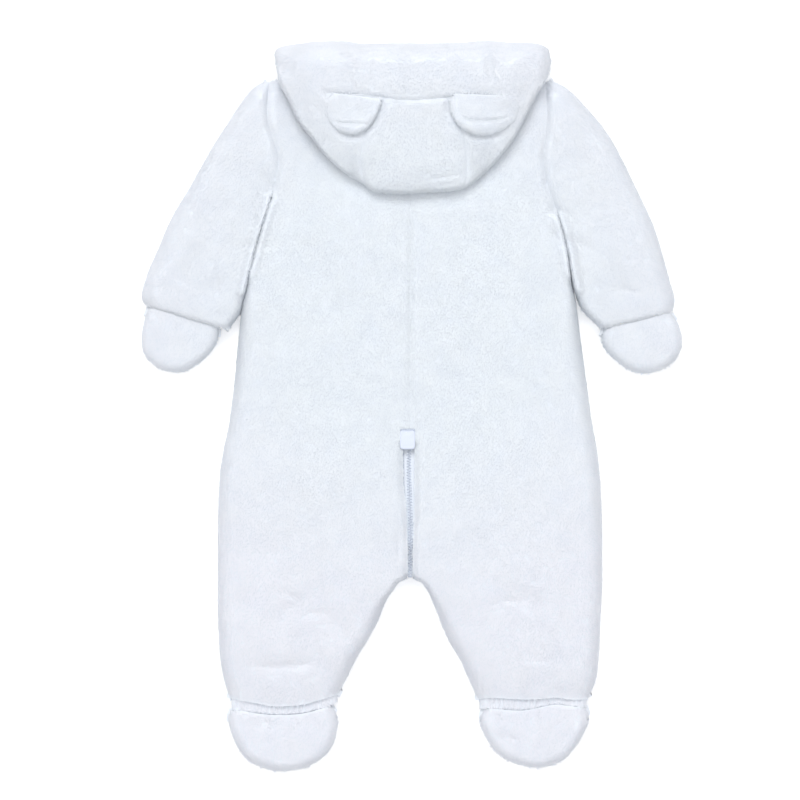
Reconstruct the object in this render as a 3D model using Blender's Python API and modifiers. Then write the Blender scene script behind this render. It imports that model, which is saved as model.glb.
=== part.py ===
"""Baby's faux fur pramsuit, footed and mittened, laid flat on its front with its back up.

Axes: x towards the wearer's right, y towards the head, z up from the surface it lies on.
The origin is on that surface, under the middle of the garment's outline.
All sizes are in millimetres and become metres where a mesh is made.
The front panels rest on the surface, the back panels lie on them, and the hood lies
folded down on the back. Sewn neighbours are SEAM_GAP apart.
"""

import math

import bmesh
import bpy
import numpy as np
from mathutils import Matrix

MM = 0.001
COLLECTION = "faux_fur_pramsuit"
CUTTERS = "joined_shapes"

# Layers, as heights over the surface
SEAM_PLANE = 13.0      # where the front layer meets the back layer
SEAM_GAP = 0.3         # between sewn neighbours
EDGE_WALL = 1.4        # thickness that a panel keeps at its very edge
EDGE_ROUND = 17.0      # width over which the back layer rounds down to its edge
UNDER_ROUND = 13.0     # the same for the underside
BROAD_RISE = 2.5       # slow swell of the padding towards the middle of a panel
BROAD_ROUND = 60.0
FOLD_WALL = 5.0        # thickness of a folded piece at its fold

# Front to back stack of the hood on the back panels
HOOD_REST = 30.4       # height of the back panels' highest points under the hood
NAPE_THICK = 6.6
CROWN_UNDER = HOOD_REST + NAPE_THICK + SEAM_GAP
EAR_REST = 48.5

# Torso and legs by height, from the shoulders down to the ankles
BODY = (
    ("y", "left_side", "left_inner", "right_inner", "right_side", "crown"),
    (275.0, -120.5, -1.65, -1.35, 114.0, 14.2),
    (260.0, -122.5, -1.65, -1.35, 114.3, 14.2),
    (244.0, -122.8, -1.65, -1.35, 114.8, 14.2),
    (226.0, -118.0, -1.65, -1.35, 113.2, 14.2),
    (207.0, -113.2, -1.65, -1.35, 111.8, 14.2),
    (192.0, -115.6, -1.65, -1.35, 113.8, 14.2),
    (176.0, -119.0, -1.65, -1.35, 118.8, 14.4),
    (160.0, -124.2, -1.65, -1.35, 124.5, 15.0),
    (134.0, -131.6, -1.65, -1.35, 131.2, 16.0),
    (110.0, -138.4, -1.65, -1.35, 134.8, 16.4),
    (86.0, -143.5, -1.65, -1.35, 139.4, 16.5),
    (55.0, -147.0, -1.65, -1.35, 143.2, 16.5),
    (21.0, -150.2, -1.65, -1.35, 148.0, 16.5),
    (-8.0, -153.6, -1.65, -1.35, 151.8, 16.5),
    (-22.0, -156.0, -1.75, -1.25, 154.2, 16.5),
    (-35.0, -159.0, -7.4, 0.4, 156.6, 16.5),
    (-58.0, -162.6, -7.4, 0.4, 159.4, 16.4),
    (-88.0, -164.2, -7.8, 0.0, 161.2, 16.2),
    (-115.0, -164.6, -6.6, 1.2, 161.6, 15.8),
    (-134.0, -164.6, -5.6, 2.2, 161.7, 15.4),
    (-146.5, -164.6, -5.4, 2.4, 161.7, 15.0),
    (-151.5, -164.6, -8.2, 5.8, 161.6, 15.0),
    (-157.5, -164.6, -15.0, 12.6, 161.5, 15.0),
    (-168.0, -164.6, -22.6, 18.2, 161.0, 15.0),
    (-183.0, -164.4, -28.4, 24.2, 160.2, 15.0),
    (-200.0, -163.6, -37.6, 31.4, 159.5, 14.8),
    (-217.0, -162.4, -47.8, 41.4, 158.4, 14.0),
    (-234.0, -159.4, -55.2, 49.0, 156.2, 12.0),
    (-251.0, -154.4, -62.6, 56.8, 149.6, 8.6),
)
UNDERARM = {"left": 6, "right": 7}   # rows of BODY where the armhole ends
CROTCH = 20                          # row of BODY where the legs part
ZIP_TOP = 14                         # row of BODY where the back zip begins

# Shoulder line and necklines, by distance from the centre line
CENTRE_X = -1.5
NECK_HALF = 57.0
NECK_POINT_Y = 287.0
ARMHOLE_TOP_Y = 275.0
ARMHOLE_HALF = 118.0
BACK_NECK_Y = 279.0
FRONT_NECK_Y = 246.0
TOP_BLEND_Y = 192.0    # rows above this one follow the shoulder line

# Ankle seams: upper and lower edge of each ankle band
ANKLE_LEFT = (
    ("x", "upper", "lower"),
    (-155.0, -249.5, -259.5),
    (-146.0, -251.0, -259.6),
    (-133.0, -253.4, -261.8),
    (-117.0, -256.2, -263.4),
    (-96.0, -255.4, -262.6),
    (-78.0, -250.8, -258.4),
    (-61.5, -246.2, -253.0),
)
ANKLE_RIGHT = (
    ("x", "upper", "lower"),
    (56.0, -251.0, -258.6),
    (68.0, -249.0, -258.2),
    (92.0, -250.4, -259.6),
    (107.0, -250.2, -257.4),
    (122.0, -248.8, -254.6),
    (136.0, -250.6, -256.0),
    (150.5, -250.4, -257.2),
)
BOTTOM_BLEND_Y = -217.0   # rows below this one follow the ankle seam
ANKLE_MEAN_Y = -251.0
ANKLE_CROWN = 6.4
ANKLE_LIFT = 5.4          # how far the pinched ankle stands off the surface

# Sleeves by section, from the shoulder down to the cuff
SLEEVE_LEFT = (
    ("outer_x", "outer_y", "inner_x", "inner_y", "crown"),
    (-124.0, 277.0, -121.0, 275.5, 8.0),
    (-136.0, 267.5, -122.8, 259.0, 12.0),
    (-148.5, 251.0, -123.1, 243.0, 14.0),
    (-159.5, 233.8, -118.3, 226.0, 14.0),
    (-170.5, 216.6, -113.6, 207.5, 14.0),
    (-180.0, 199.6, -115.8, 192.0, 14.0),
    (-189.6, 182.6, -119.5, 176.0, 14.0),
    (-200.2, 165.4, -124.6, 160.6, 14.0),
    (-208.6, 148.4, -129.0, 147.0, 14.0),
    (-215.6, 131.4, -133.6, 131.0, 14.0),
    (-223.2, 114.6, -138.0, 114.0, 14.0),
    (-228.4, 98.0, -142.2, 96.0, 13.6),
    (-229.3, 90.0, -146.2, 80.0, 13.0),
    (-226.6, 85.0, -155.5, 64.0, 12.0),
)
SLEEVE_RIGHT = (
    ("outer_x", "outer_y", "inner_x", "inner_y", "crown"),
    (119.0, 278.0, 114.6, 275.5, 8.0),
    (131.4, 268.8, 114.7, 260.0, 12.0),
    (143.4, 257.4, 115.3, 244.0, 14.0),
    (157.4, 242.0, 113.7, 226.0, 14.0),
    (169.4, 225.2, 112.3, 207.0, 14.0),
    (178.8, 208.0, 114.3, 192.0, 14.0),
    (187.0, 191.0, 119.3, 176.0, 14.0),
    (195.2, 174.0, 125.0, 160.0, 14.0),
    (203.2, 157.0, 129.6, 145.0, 14.0),
    (209.4, 140.0, 133.2, 130.0, 14.0),
    (214.2, 123.0, 136.0, 113.0, 14.0),
    (219.0, 106.0, 139.8, 97.0, 13.6),
    (223.2, 90.0, 146.0, 81.0, 13.0),
    (221.6, 79.4, 160.0, 64.6, 12.0),
)
CUFF_ROUND = 9.0

# Free edge of each mitten and foot, from one end of its seam round to the other
MITTEN_LEFT = (
    (-222.6, 83.2), (-226.4, 73.0), (-229.3, 57.0), (-227.6, 44.6), (-220.6, 35.0),
    (-209.0, 28.6), (-196.0, 27.8), (-183.0, 33.6), (-172.6, 43.4), (-165.6, 54.0),
    (-164.2, 66.0),
)
MITTEN_RIGHT = (
    (163.6, 64.8), (161.2, 56.0), (165.2, 46.4), (173.6, 37.8), (184.0, 30.0),
    (196.6, 26.8), (209.0, 28.8), (219.6, 34.2), (227.0, 43.0), (229.3, 53.0),
    (226.8, 67.0), (219.4, 78.2),
)
FOOT_LEFT = (
    (-149.6, -259.9), (-154.8, -270.0), (-152.4, -281.0), (-146.4, -293.4), (-138.0, -302.4),
    (-125.4, -308.8), (-110.0, -311.5), (-93.0, -309.0), (-79.4, -302.4), (-69.6, -293.4),
    (-64.4, -280.0), (-63.4, -266.0), (-68.6, -256.0),
)
FOOT_RIGHT = (
    (61.6, -259.1), (57.8, -268.0), (61.0, -278.0), (69.4, -292.6), (80.6, -301.8),
    (93.0, -306.4), (106.0, -308.4), (120.0, -306.0), (130.0, -300.8), (138.4, -291.6),
    (145.0, -281.0), (150.2, -268.0), (148.0, -257.5),
)
MITTEN_CROWN = 9.6
MITTEN_ROOT_CROWN = 6.4
FOOT_CROWN = 12.0
FOOT_ROOT_CROWN = 6.4
ROOT_RAMP = 22.0       # distance from the seam over which they swell

# Hood in plan: each list runs from the wearer's left to the right, or from the top down
HOOD_TOP = (
    (-116.0, 303.6), (-107.0, 307.4), (-86.0, 309.6), (-71.0, 310.4), (-57.0, 309.8),
    (-39.0, 308.2), (0.0, 308.6), (40.0, 309.0), (58.0, 310.6), (67.5, 311.5),
    (77.0, 310.6), (96.0, 309.0), (108.0, 308.0), (116.6, 303.6),
)
HOOD_LEFT_END = ((-116.0, 303.6), (-118.0, 296.0), (-114.8, 287.2))
HOOD_RIGHT_END = ((116.6, 303.6), (118.8, 294.0), (115.4, 277.8))
BAND_SEAM_LEFT = (
    (-114.8, 287.2), (-100.0, 279.4), (-84.0, 272.0), (-71.0, 264.6), (-56.0, 263.4),
    (-40.0, 262.8), (-25.0, 260.2),
)
BAND_SEAM_MIDDLE = ((-25.0, 260.2), (-11.0, 258.2), (2.0, 258.0), (15.0, 258.8), (29.0, 260.2))
BAND_SEAM_RIGHT = (
    (29.0, 260.2), (49.0, 262.2), (71.0, 263.2), (88.0, 265.8), (102.0, 270.4), (115.4, 277.8),
)
CROWN_SEAM_LEFT = ((-25.0, 260.2), (-34.0, 243.6), (-40.4, 226.6), (-42.6, 207.0), (-40.0, 189.6))
CROWN_SEAM_RIGHT = ((29.0, 260.2), (37.6, 243.4), (43.6, 226.4), (46.0, 209.6), (44.8, 194.6))
SIDE_EDGE_LEFT = (
    (-114.8, 287.2), (-112.4, 273.6), (-104.6, 258.4), (-96.6, 241.0), (-85.0, 226.4),
    (-73.0, 211.4), (-61.0, 200.0), (-52.0, 194.0),
)
SIDE_EDGE_RIGHT = (
    (115.4, 277.8), (108.0, 266.4), (100.6, 252.0), (93.6, 238.0), (82.6, 224.6),
    (71.0, 214.6), (60.0, 205.4),
)
FOLD_EDGE_LEFT = ((-52.0, 194.0), (-40.0, 189.6))
FOLD_EDGE_MIDDLE = (
    (-40.0, 189.6), (-27.0, 186.6), (-10.0, 185.2), (4.0, 186.0), (15.0, 189.6),
    (30.0, 192.4), (44.8, 194.6),
)
FOLD_EDGE_RIGHT = ((44.8, 194.6), (60.0, 205.4))
NAPE_TOP = ((-100.0, 257.0), (-60.0, 261.0), (0.0, 261.5), (60.0, 261.0), (98.0, 256.0))
NAPE_LEFT = ((-100.0, 257.0), (-92.0, 240.0), (-80.0, 224.0), (-66.0, 206.0), (-46.5, 190.0))
NAPE_RIGHT = ((98.0, 256.0), (94.6, 240.6), (84.6, 222.0), (70.8, 204.8), (52.6, 190.4))
NAPE_BOTTOM = (
    (-46.5, 190.0), (-36.5, 183.4), (-24.0, 180.4), (6.0, 180.2), (37.0, 180.6), (52.6, 190.4),
)

# Hood in section: its crown layer stands past the shoulders and comes down to the surface
HOOD_PROFILE = (
    ("y", "under", "over"),
    (180.0, CROWN_UNDER, 47.6),
    (262.0, CROWN_UNDER, 48.0),
    (270.0, 36.8, 48.0),
    (277.0, 34.4, 47.4),
    (284.0, 28.6, 46.0),
    (291.0, 19.0, 43.4),
    (298.0, 9.6, 39.4),
    (304.0, 3.4, 34.0),
    (312.0, 0.0, 27.0),
)
HOOD_ROUND = 14.0

EAR_LEFT = (
    (-66.4, 264.0), (-70.8, 256.0), (-71.0, 246.4), (-67.6, 238.0), (-60.6, 231.8),
    (-52.0, 229.0), (-43.0, 230.4), (-35.6, 236.4), (-29.8, 246.4), (-25.6, 259.0),
)
EAR_RIGHT = (
    (36.6, 263.4), (33.0, 256.6), (33.6, 247.6), (38.0, 238.6), (45.6, 231.8),
    (57.0, 228.2), (69.6, 229.8), (81.0, 236.0), (88.4, 245.0), (90.4, 254.0), (83.4, 261.6),
)
EAR_CROWN = 9.0
EAR_WALL = 2.6
EAR_ROUND = 10.0

# Throat of the hood on the front: it joins the hood to the front neckline
THROAT_HEIGHT = 20.0
THROAT_OUTER_END = (-43.0, 290.0)

# Zip: a strip with its chain, from the front neck round the crotch and up the back
ZIP_CENTRE = (
    ("y", "x"),
    (-35.5, -3.5),
    (-58.0, -3.5),
    (-88.0, -3.9),
    (-115.0, -2.7),
    (-134.0, -1.7),
    (-146.5, -1.5),
)
ZIP_HALF = 3.6
ZIP_THICK = 1.8
ZIP_BACK_Z = 24.5      # top of the strip on the back
ZIP_FRONT_Z = 5.0      # underside of the strip on the front
ZIP_FRONT_HALF = 4.4   # half of the gap between the front panels
ZIP_FRONT_TOP_Y = 234.7
ZIP_TURN_RISE = 1.6    # how much lower the strip lies where it reaches the crotch
GUARD = {"x": -3.6, "y": -29.6, "width": 13.0, "height": 18.0, "thick": 2.2, "rest_z": 31.7}

# Slider at the top of the front zip, with an arched bridge that holds the pull tab
SLIDER = {"width": 7.4, "length": 10.4, "low_z": 3.5, "high_z": 8.4, "y": 240.2, "rounding": 1.0}
BRIDGE = {"width": 1.8, "reach": 2.3, "spring_z": 3.9, "depth": 2.8, "thick": 0.8}
HINGE_Z = 2.65
TAB = {"eye_half": 2.8, "hole_half": 1.5, "hole_end": 3.4, "bar": 0.45, "grip_half": 2.3,
       "length": 22.0, "thick": 0.9}
TAB_REST_TILT = math.radians(4.5)

SEAM_GROOVE = {"armhole": (2.6, 6.0), "centre": (1.0, 4.0), "zip": (4.0, 4.5)}
HOOD_GROOVE = {"band": (3.0, 5.0), "crown": (1.8, 5.0)}

# Largest soft folds of the back layer
FOLDS = (
    ("x", "y", "angle", "half_length", "half_width", "depth"),
    (-129.0, 134.5, 4.0, 24.0, 6.0, 2.6),
    (-122.0, 188.0, -60.0, 9.0, 5.0, 2.2),
    (-163.0, 103.0, 78.0, 12.0, 6.0, 2.2),
    (-186.0, 118.0, 62.0, 20.0, 8.0, 1.6),
    (127.0, 162.0, -28.0, 12.0, 5.0, 2.4),
    (136.0, 138.0, -20.0, 14.0, 6.0, 2.4),
    (176.0, 104.0, 118.0, 20.0, 8.0, 1.8),
    (-109.0, -221.0, 2.0, 36.0, 7.0, 1.6),
    (-96.0, -170.0, 28.0, 26.0, 9.0, 2.2),
    (-70.0, -184.0, -18.0, 20.0, 8.0, 1.8),
    (104.0, -212.0, -6.0, 30.0, 8.0, 1.4),
    (92.0, -162.0, -24.0, 26.0, 9.0, 1.8),
    (-48.0, 287.0, 84.0, 13.0, 6.0, 1.8),
    (71.0, 287.0, 96.0, 13.0, 6.0, 1.8),
    (-3.5, -29.6, 90.0, 13.0, 9.0, 2.0),
)

# Finish: base colour, roughness
FUR = ((0.78, 0.86, 0.95, 1.0), 0.95)
GUARD_CLOTH = ((0.82, 0.89, 0.97, 1.0), 0.7)
ZIP_TAPE = ((0.70, 0.78, 0.88, 1.0), 0.6)
SLIDER_METAL = ((0.72, 0.76, 0.82, 1.0), 0.35)

PANEL_COLUMNS = 12
FRONT_COLUMNS = 8
SLEEVE_COLUMNS = 9
PAD_POINTS = 30
PAD_RINGS = 5


# ---------------------------------------------------------------- plan curves

def columns(table):
    """The columns of a table whose first row names them."""
    values = np.array(table[1:], dtype=float)
    return {name: values[:, i] for i, name in enumerate(table[0])}


def through(values, at):
    """Cubic curve through rows of values, read at fractional row numbers.

    A row's slope is the mean of the steps beside it, at most three times the smaller one.
    """
    values = np.asarray(values, dtype=float)
    at = np.asarray(at, dtype=float)
    steps = np.diff(values, axis=0)
    before, after = np.concatenate([steps[:1], steps]), np.concatenate([steps, steps[-1:]])
    most = 3 * np.minimum(np.abs(before), np.abs(after))
    slopes = np.clip((before + after) / 2, -most, most)
    low = np.clip(np.floor(at).astype(int), 0, len(values) - 2)
    t = at - low
    if values.ndim > 1:
        t = t[:, None]
    return (
        values[low] * (1 + 2 * t) * (1 - t) ** 2
        + slopes[low] * t * (1 - t) ** 2
        + values[low + 1] * t * t * (3 - 2 * t)
        + slopes[low + 1] * t * t * (t - 1)
    )


def refined(table, steps):
    """A table's columns with this many rows for each of its own."""
    rows = columns(table)
    count = len(table) - 1
    at = np.linspace(0, count - 1, (count - 1) * steps + 1)
    return {name: through(values, at) for name, values in rows.items()}


def curve(points, count):
    """Points evenly spaced along a smooth curve through the given ones."""
    points = np.asarray(points, dtype=float)
    fine = through(points, np.linspace(0, len(points) - 1, 24 * (len(points) - 1) + 1))
    run = np.concatenate([[0], np.cumsum(np.linalg.norm(np.diff(fine, axis=0), axis=1))])
    at = np.linspace(0, run[-1], count)
    return np.stack([np.interp(at, run, fine[:, 0]), np.interp(at, run, fine[:, 1])], axis=1)


def edge_spacing(count):
    """Fractions from 0 to 1, closer together at both ends."""
    return (1 - np.cos(np.linspace(0, math.pi, count + 1))) / 2


def filled(top, bottom, left, right):
    """Grid between four edges that meet at their ends: top and bottom run left to right."""
    rows, cols = len(left), len(top)
    v = np.linspace(0, 1, rows)[:, None, None]
    u = np.linspace(0, 1, cols)[None, :, None]
    across = left[:, None] * (1 - u) + right[:, None] * u
    down = top[None] * (1 - v) + bottom[None] * v
    corners = (
        top[0] * (1 - u) * (1 - v)
        + top[-1] * u * (1 - v)
        + bottom[0] * (1 - u) * v
        + bottom[-1] * u * v
    )
    return across + down - corners


def rim_of(grid):
    """The grid's outer points in order, once round."""
    return np.concatenate([grid[0], grid[1:, -1], grid[-1, -2::-1], grid[-2:0:-1, 0]])


def drawn_in(grid, amount=SEAM_GAP / 2):
    """The grid with its outer points moved inwards, square to the outline."""
    rim = rim_of(grid)
    ahead = np.roll(rim, -1, axis=0) - np.roll(rim, 1, axis=0)
    area = np.sum(rim[:, 0] * np.roll(rim[:, 1], -1) - np.roll(rim[:, 0], -1) * rim[:, 1])
    inward = np.stack([-ahead[:, 1], ahead[:, 0]], axis=1) * np.sign(area)
    inward /= np.linalg.norm(inward, axis=1)[:, None]
    rim = rim + inward * amount
    out = grid.copy()
    rows, cols = grid.shape[:2]
    out[0] = rim[:cols]
    out[1:, -1] = rim[cols:cols + rows - 1]
    out[-1, -2::-1] = rim[cols + rows - 1:2 * cols + rows - 2]
    out[-2:0:-1, 0] = rim[2 * cols + rows - 2:]
    return out


def distance(plan, path):
    """Distance of every plan point from a path of straight pieces."""
    points = plan.reshape(-1, 1, 2)
    start, step = path[None, :-1], np.diff(path, axis=0)[None]
    share = np.sum((points - start) * step, axis=2) / np.sum(step * step, axis=2)
    nearest = start + np.clip(share, 0, 1)[..., None] * step
    return np.linalg.norm(points - nearest, axis=2).min(axis=1).reshape(plan.shape[:-1])


def nearest_edge(plan, edges):
    return np.min([distance(plan, edge) for edge in edges], axis=0)


# ------------------------------------------------------------------- heights

def dome(away, width):
    """0 at an edge and 1 from `width` inwards, a quarter circle between."""
    share = np.clip(away / width, 0, 1)
    return np.sqrt(1 - (1 - share) ** 2)


def ease(share):
    """0 to 1 with level ends."""
    share = np.clip(share, 0, 1)
    return share * share * (3 - 2 * share)


def groove(away, depth, width):
    return depth * np.exp(-((away / width) ** 2))


def fold_depth(plan):
    """Depth of the soft folds at each plan point: long bell-shaped troughs."""
    depth = np.zeros(plan.shape[:-1])
    rows = columns(FOLDS)
    for x, y, angle, half_length, half_width, deep in zip(*rows.values()):
        turn = math.radians(angle)
        along = (plan[..., 0] - x) * math.cos(turn) + (plan[..., 1] - y) * math.sin(turn)
        across = (plan[..., 1] - y) * math.cos(turn) - (plan[..., 0] - x) * math.sin(turn)
        depth += deep * np.exp(-((along / half_length) ** 2) - (across / half_width) ** 2)
    return depth


def back_height(plan, crown, free, round_width=EDGE_ROUND):
    """Upper surface of the back layer, swelling inwards from its free edges."""
    away = nearest_edge(plan, free)
    edge = SEAM_PLANE + SEAM_GAP / 2 + EDGE_WALL
    swell = (crown - EDGE_WALL) * dome(away, round_width) + BROAD_RISE * dome(away, BROAD_ROUND)
    return edge + swell - fold_depth(plan) * dome(away, EDGE_ROUND)


def front_height(plan, free):
    """Underside of the front layer: flat on the surface, rounded up to its free edges."""
    edge = SEAM_PLANE - SEAM_GAP / 2 - EDGE_WALL
    return edge * (1 - dome(nearest_edge(plan, free), UNDER_ROUND))


# -------------------------------------------------------------------- meshes

def lifted(plan, height):
    """Plan points with their heights."""
    return np.concatenate([plan, np.broadcast_to(height, plan.shape[:-1])[..., None]], axis=-1)


def add_object(name, points, faces, finish):
    mesh = bpy.data.meshes.new(name)
    mesh.from_pydata([tuple(p) for p in np.asarray(points) * MM], [], faces)
    shaped = bmesh.new()
    shaped.from_mesh(mesh)
    bmesh.ops.recalc_face_normals(shaped, faces=shaped.faces)
    shaped.to_mesh(mesh)
    shaped.free()
    mesh.shade_smooth()
    mesh.set_sharp_from_angle(angle=math.radians(50))
    obj = bpy.data.objects.new(name, mesh)
    bpy.data.collections[COLLECTION].objects.link(obj)
    obj.data.materials.append(finish)
    return obj


def wall_between(upper, lower, flat=None):
    """Points and faces of a closed wall between two grids; a flat side is one many-sided face."""
    rows, cols = upper.shape[:2]
    number = np.arange(rows * cols).reshape(rows, cols)
    faces = []
    for side, grid in (("upper", number), ("lower", number + rows * cols)):
        if side == flat:
            faces.append(rim_of(grid).tolist())
            continue
        quads = np.stack([grid[:-1, :-1], grid[1:, :-1], grid[1:, 1:], grid[:-1, 1:]], axis=-1)
        faces += quads.reshape(-1, 4).tolist()
    over, under = rim_of(number), rim_of(number + rows * cols)
    walls = np.stack([over, np.roll(over, -1), np.roll(under, -1), under], axis=1)
    faces += walls.tolist()
    points = np.concatenate([upper.reshape(-1, 3), lower.reshape(-1, 3)])
    used, place = np.unique(np.concatenate(faces), return_inverse=True)
    ends = np.cumsum([len(face) for face in faces])[:-1]
    return points[used], [face.tolist() for face in np.split(place.reshape(-1), ends)]


def shell(name, upper, lower, finish, flat=None):
    return add_object(name, *wall_between(upper, lower, flat), finish)


def pad(name, rim, curved, flat_z, finish):
    """Pad inside a closed outline: one side curved by a height function, the other flat."""
    middle = rim.mean(axis=0)
    share = np.cos(np.linspace(0, math.pi / 2, PAD_RINGS + 1))[:-1]
    rings = middle + (rim - middle)[None] * share[:, None, None]
    count = len(rim)
    surface = lifted(rings, curved(rings)).reshape(-1, 3)
    tip = lifted(middle[None], curved(middle[None]))
    base = lifted(rim, flat_z)
    points = np.concatenate([surface, tip, base])
    number = np.arange(PAD_RINGS * count).reshape(PAD_RINGS, count)
    after = np.roll(number, -1, axis=1)
    faces = np.stack([number[:-1], after[:-1], after[1:], number[1:]], axis=-1).reshape(-1, 4).tolist()
    top = PAD_RINGS * count
    faces += [[int(a), int(b), top] for a, b in zip(number[-1], after[-1])]
    low = np.arange(count) + top + 1
    faces += np.stack([number[0], low, np.roll(low, -1), after[0]], axis=1).tolist()
    faces.append(low.tolist())
    return add_object(name, points, faces, finish)


# ------------------------------------------------------------ torso and legs

def top_line(x, neck_y):
    """Shoulder slope outside the neck, and a rounded neckline inside it."""
    out = np.abs(x - CENTRE_X)
    slope = (out - NECK_HALF) / (ARMHOLE_HALF - NECK_HALF)
    shoulder = NECK_POINT_Y - (NECK_POINT_Y - ARMHOLE_TOP_Y) * np.clip(slope, 0, 1) ** 1.3
    dip = neck_y + (NECK_POINT_Y - neck_y) * np.clip(out / NECK_HALF, 0, 1) ** 2.2
    return np.where(out > NECK_HALF, shoulder, dip)


def ankle_line(x, table, column):
    """Height in plan of an ankle seam at x."""
    rows = columns(table)
    fine = np.linspace(0, len(table) - 2, 60)
    return np.interp(x, through(rows["x"], fine), through(rows[column], fine))


def body_plan(side, neck_y, steps, count):
    """Plan of one half, a row for each height, from the side seam in to the middle."""
    rows = refined(BODY, steps)
    outer, inner = rows[side + "_side"], rows[side + "_inner"]
    u = edge_spacing(count)
    x = outer[:, None] * (1 - u) + inner[:, None] * u
    y = np.repeat(rows["y"][:, None], count + 1, axis=1)
    top = (top_line(x, neck_y) - TOP_BLEND_Y) / (ARMHOLE_TOP_Y - TOP_BLEND_Y)
    y = np.where(y > TOP_BLEND_Y, TOP_BLEND_Y + (y - TOP_BLEND_Y) * top, y)
    seam = ankle_line(x, ANKLE_LEFT if side == "left" else ANKLE_RIGHT, "upper")
    low = (seam - BOTTOM_BLEND_Y) / (ANKLE_MEAN_Y - BOTTOM_BLEND_Y)
    y = np.where(y < BOTTOM_BLEND_Y, BOTTOM_BLEND_Y + (y - BOTTOM_BLEND_Y) * low, y)
    return np.stack([x, y], axis=-1), rows["crown"]


def free_edges(plan, side, steps):
    """Edges of a half where the garment ends: shoulder, side below the arm, inside leg."""
    return [plan[0], plan[UNDERARM[side] * steps:, 0], plan[CROTCH * steps:, -1]]


def back_panel(side, finish):
    steps = 2
    plan, crown = body_plan(side, BACK_NECK_Y, steps, PANEL_COLUMNS)
    height = back_height(plan, crown[:, None], free_edges(plan, side, steps))
    armhole = plan[:UNDERARM[side] * steps + 1, 0]
    height -= groove(distance(plan, armhole), *SEAM_GROOVE["armhole"])
    height -= groove(distance(plan, plan[:ZIP_TOP * steps + 1, -1]), *SEAM_GROOVE["centre"])
    height -= groove(distance(plan, plan[ZIP_TOP * steps + 1:CROTCH * steps + 1, -1]), *SEAM_GROOVE["zip"])
    flat = SEAM_PLANE + SEAM_GAP / 2
    shell("back_" + side, lifted(plan, np.maximum(height, flat + EDGE_WALL)), lifted(plan, flat),
          finish, flat="lower")


def front_panel(side, finish):
    steps = 1
    plan = body_plan(side, FRONT_NECK_Y, steps, FRONT_COLUMNS)[0]
    away = -1 if side == "left" else 1
    middle = CENTRE_X + away * ZIP_FRONT_HALF
    u = edge_spacing(FRONT_COLUMNS)
    shift = np.where(np.arange(len(plan)) <= CROTCH, middle - plan[:, -1, 0], 0)
    plan[..., 0] += shift[:, None] * u ** 4
    height = front_height(plan, free_edges(plan, side, steps))
    height += groove(distance(plan, plan[-1]), ANKLE_LIFT, 8.0)
    height += groove(distance(plan, plan[:CROTCH + 1, -1]), 2.4, 4.5)
    flat = SEAM_PLANE - SEAM_GAP / 2
    shell("front_" + side, lifted(plan, flat), lifted(plan, np.minimum(height, flat - EDGE_WALL)),
          finish, flat="upper")


# ------------------------------------------------ sleeves, mittens and ankles

def folded(name, plan, over, under, finish, inset):
    """One piece folded along the plan's first column: a back and a front layer in one wall.

    The slit between the layers starts `inset` of the columns in from the fold.
    """
    share = np.linspace(0, 1, plan.shape[1])
    inner_plan = np.stack([
        through(row, (start + (1 - start) * share) * (plan.shape[1] - 1))
        for row, start in zip(plan, inset)
    ])
    outside = np.concatenate([lifted(plan, over)[:, ::-1], lifted(plan, under)[:, 1:]], axis=1)
    inside_up = lifted(inner_plan, SEAM_PLANE + SEAM_GAP / 2)
    inside_down = lifted(inner_plan, SEAM_PLANE - SEAM_GAP / 2)
    inside_up[:, 0, 2] = SEAM_PLANE
    inside = np.concatenate([inside_up[:, ::-1], inside_down[:, 1:]], axis=1)
    return shell(name, outside, inside, finish)


def sleeve(side, table, finish):
    rows = refined(table, 1)
    outer = np.stack([rows["outer_x"], rows["outer_y"]], axis=1)
    inner = np.stack([rows["inner_x"], rows["inner_y"]], axis=1)
    u = edge_spacing(SLEEVE_COLUMNS)[None, :, None]
    plan = outer[:, None] * (1 - u) + inner[:, None] * u
    under_arm = UNDERARM[side]
    fold, underarm_seam, armhole = plan[:, 0], plan[under_arm:, -1], plan[:under_arm + 1, -1]
    away = nearest_edge(plan, [fold, underarm_seam])
    cuff = dome(distance(plan, plan[-1]), CUFF_ROUND) * 0.4 + 0.6
    swell = (rows["crown"][:, None] * dome(away, EDGE_ROUND) + 2.0 * dome(away, BROAD_ROUND)) * cuff
    hollow = groove(distance(plan, armhole), *SEAM_GROOVE["armhole"])
    over = SEAM_PLANE + swell - (hollow + fold_depth(plan)) * dome(away, EDGE_ROUND)
    under = SEAM_PLANE * (1 - dome(away, UNDER_ROUND))
    over[:, -1] = np.maximum(over[:, -1], SEAM_PLANE + EDGE_WALL)
    under[:, -1] = np.minimum(under[:, -1], SEAM_PLANE - EDGE_WALL)
    under[:, 0] = over[:, 0] = SEAM_PLANE
    wall_share = np.minimum(0.3, FOLD_WALL / np.linalg.norm(inner - outer, axis=1))
    folded("sleeve_" + side, plan, over, under, finish, np.arccos(1 - 2 * wall_share) / math.pi)


def closed_loop(free_points, seam, count):
    """Outline of a pad: its free edge, then its seam back to the start."""
    free = curve(free_points, count)
    return np.concatenate([free, seam[1:-1]]), free


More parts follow.
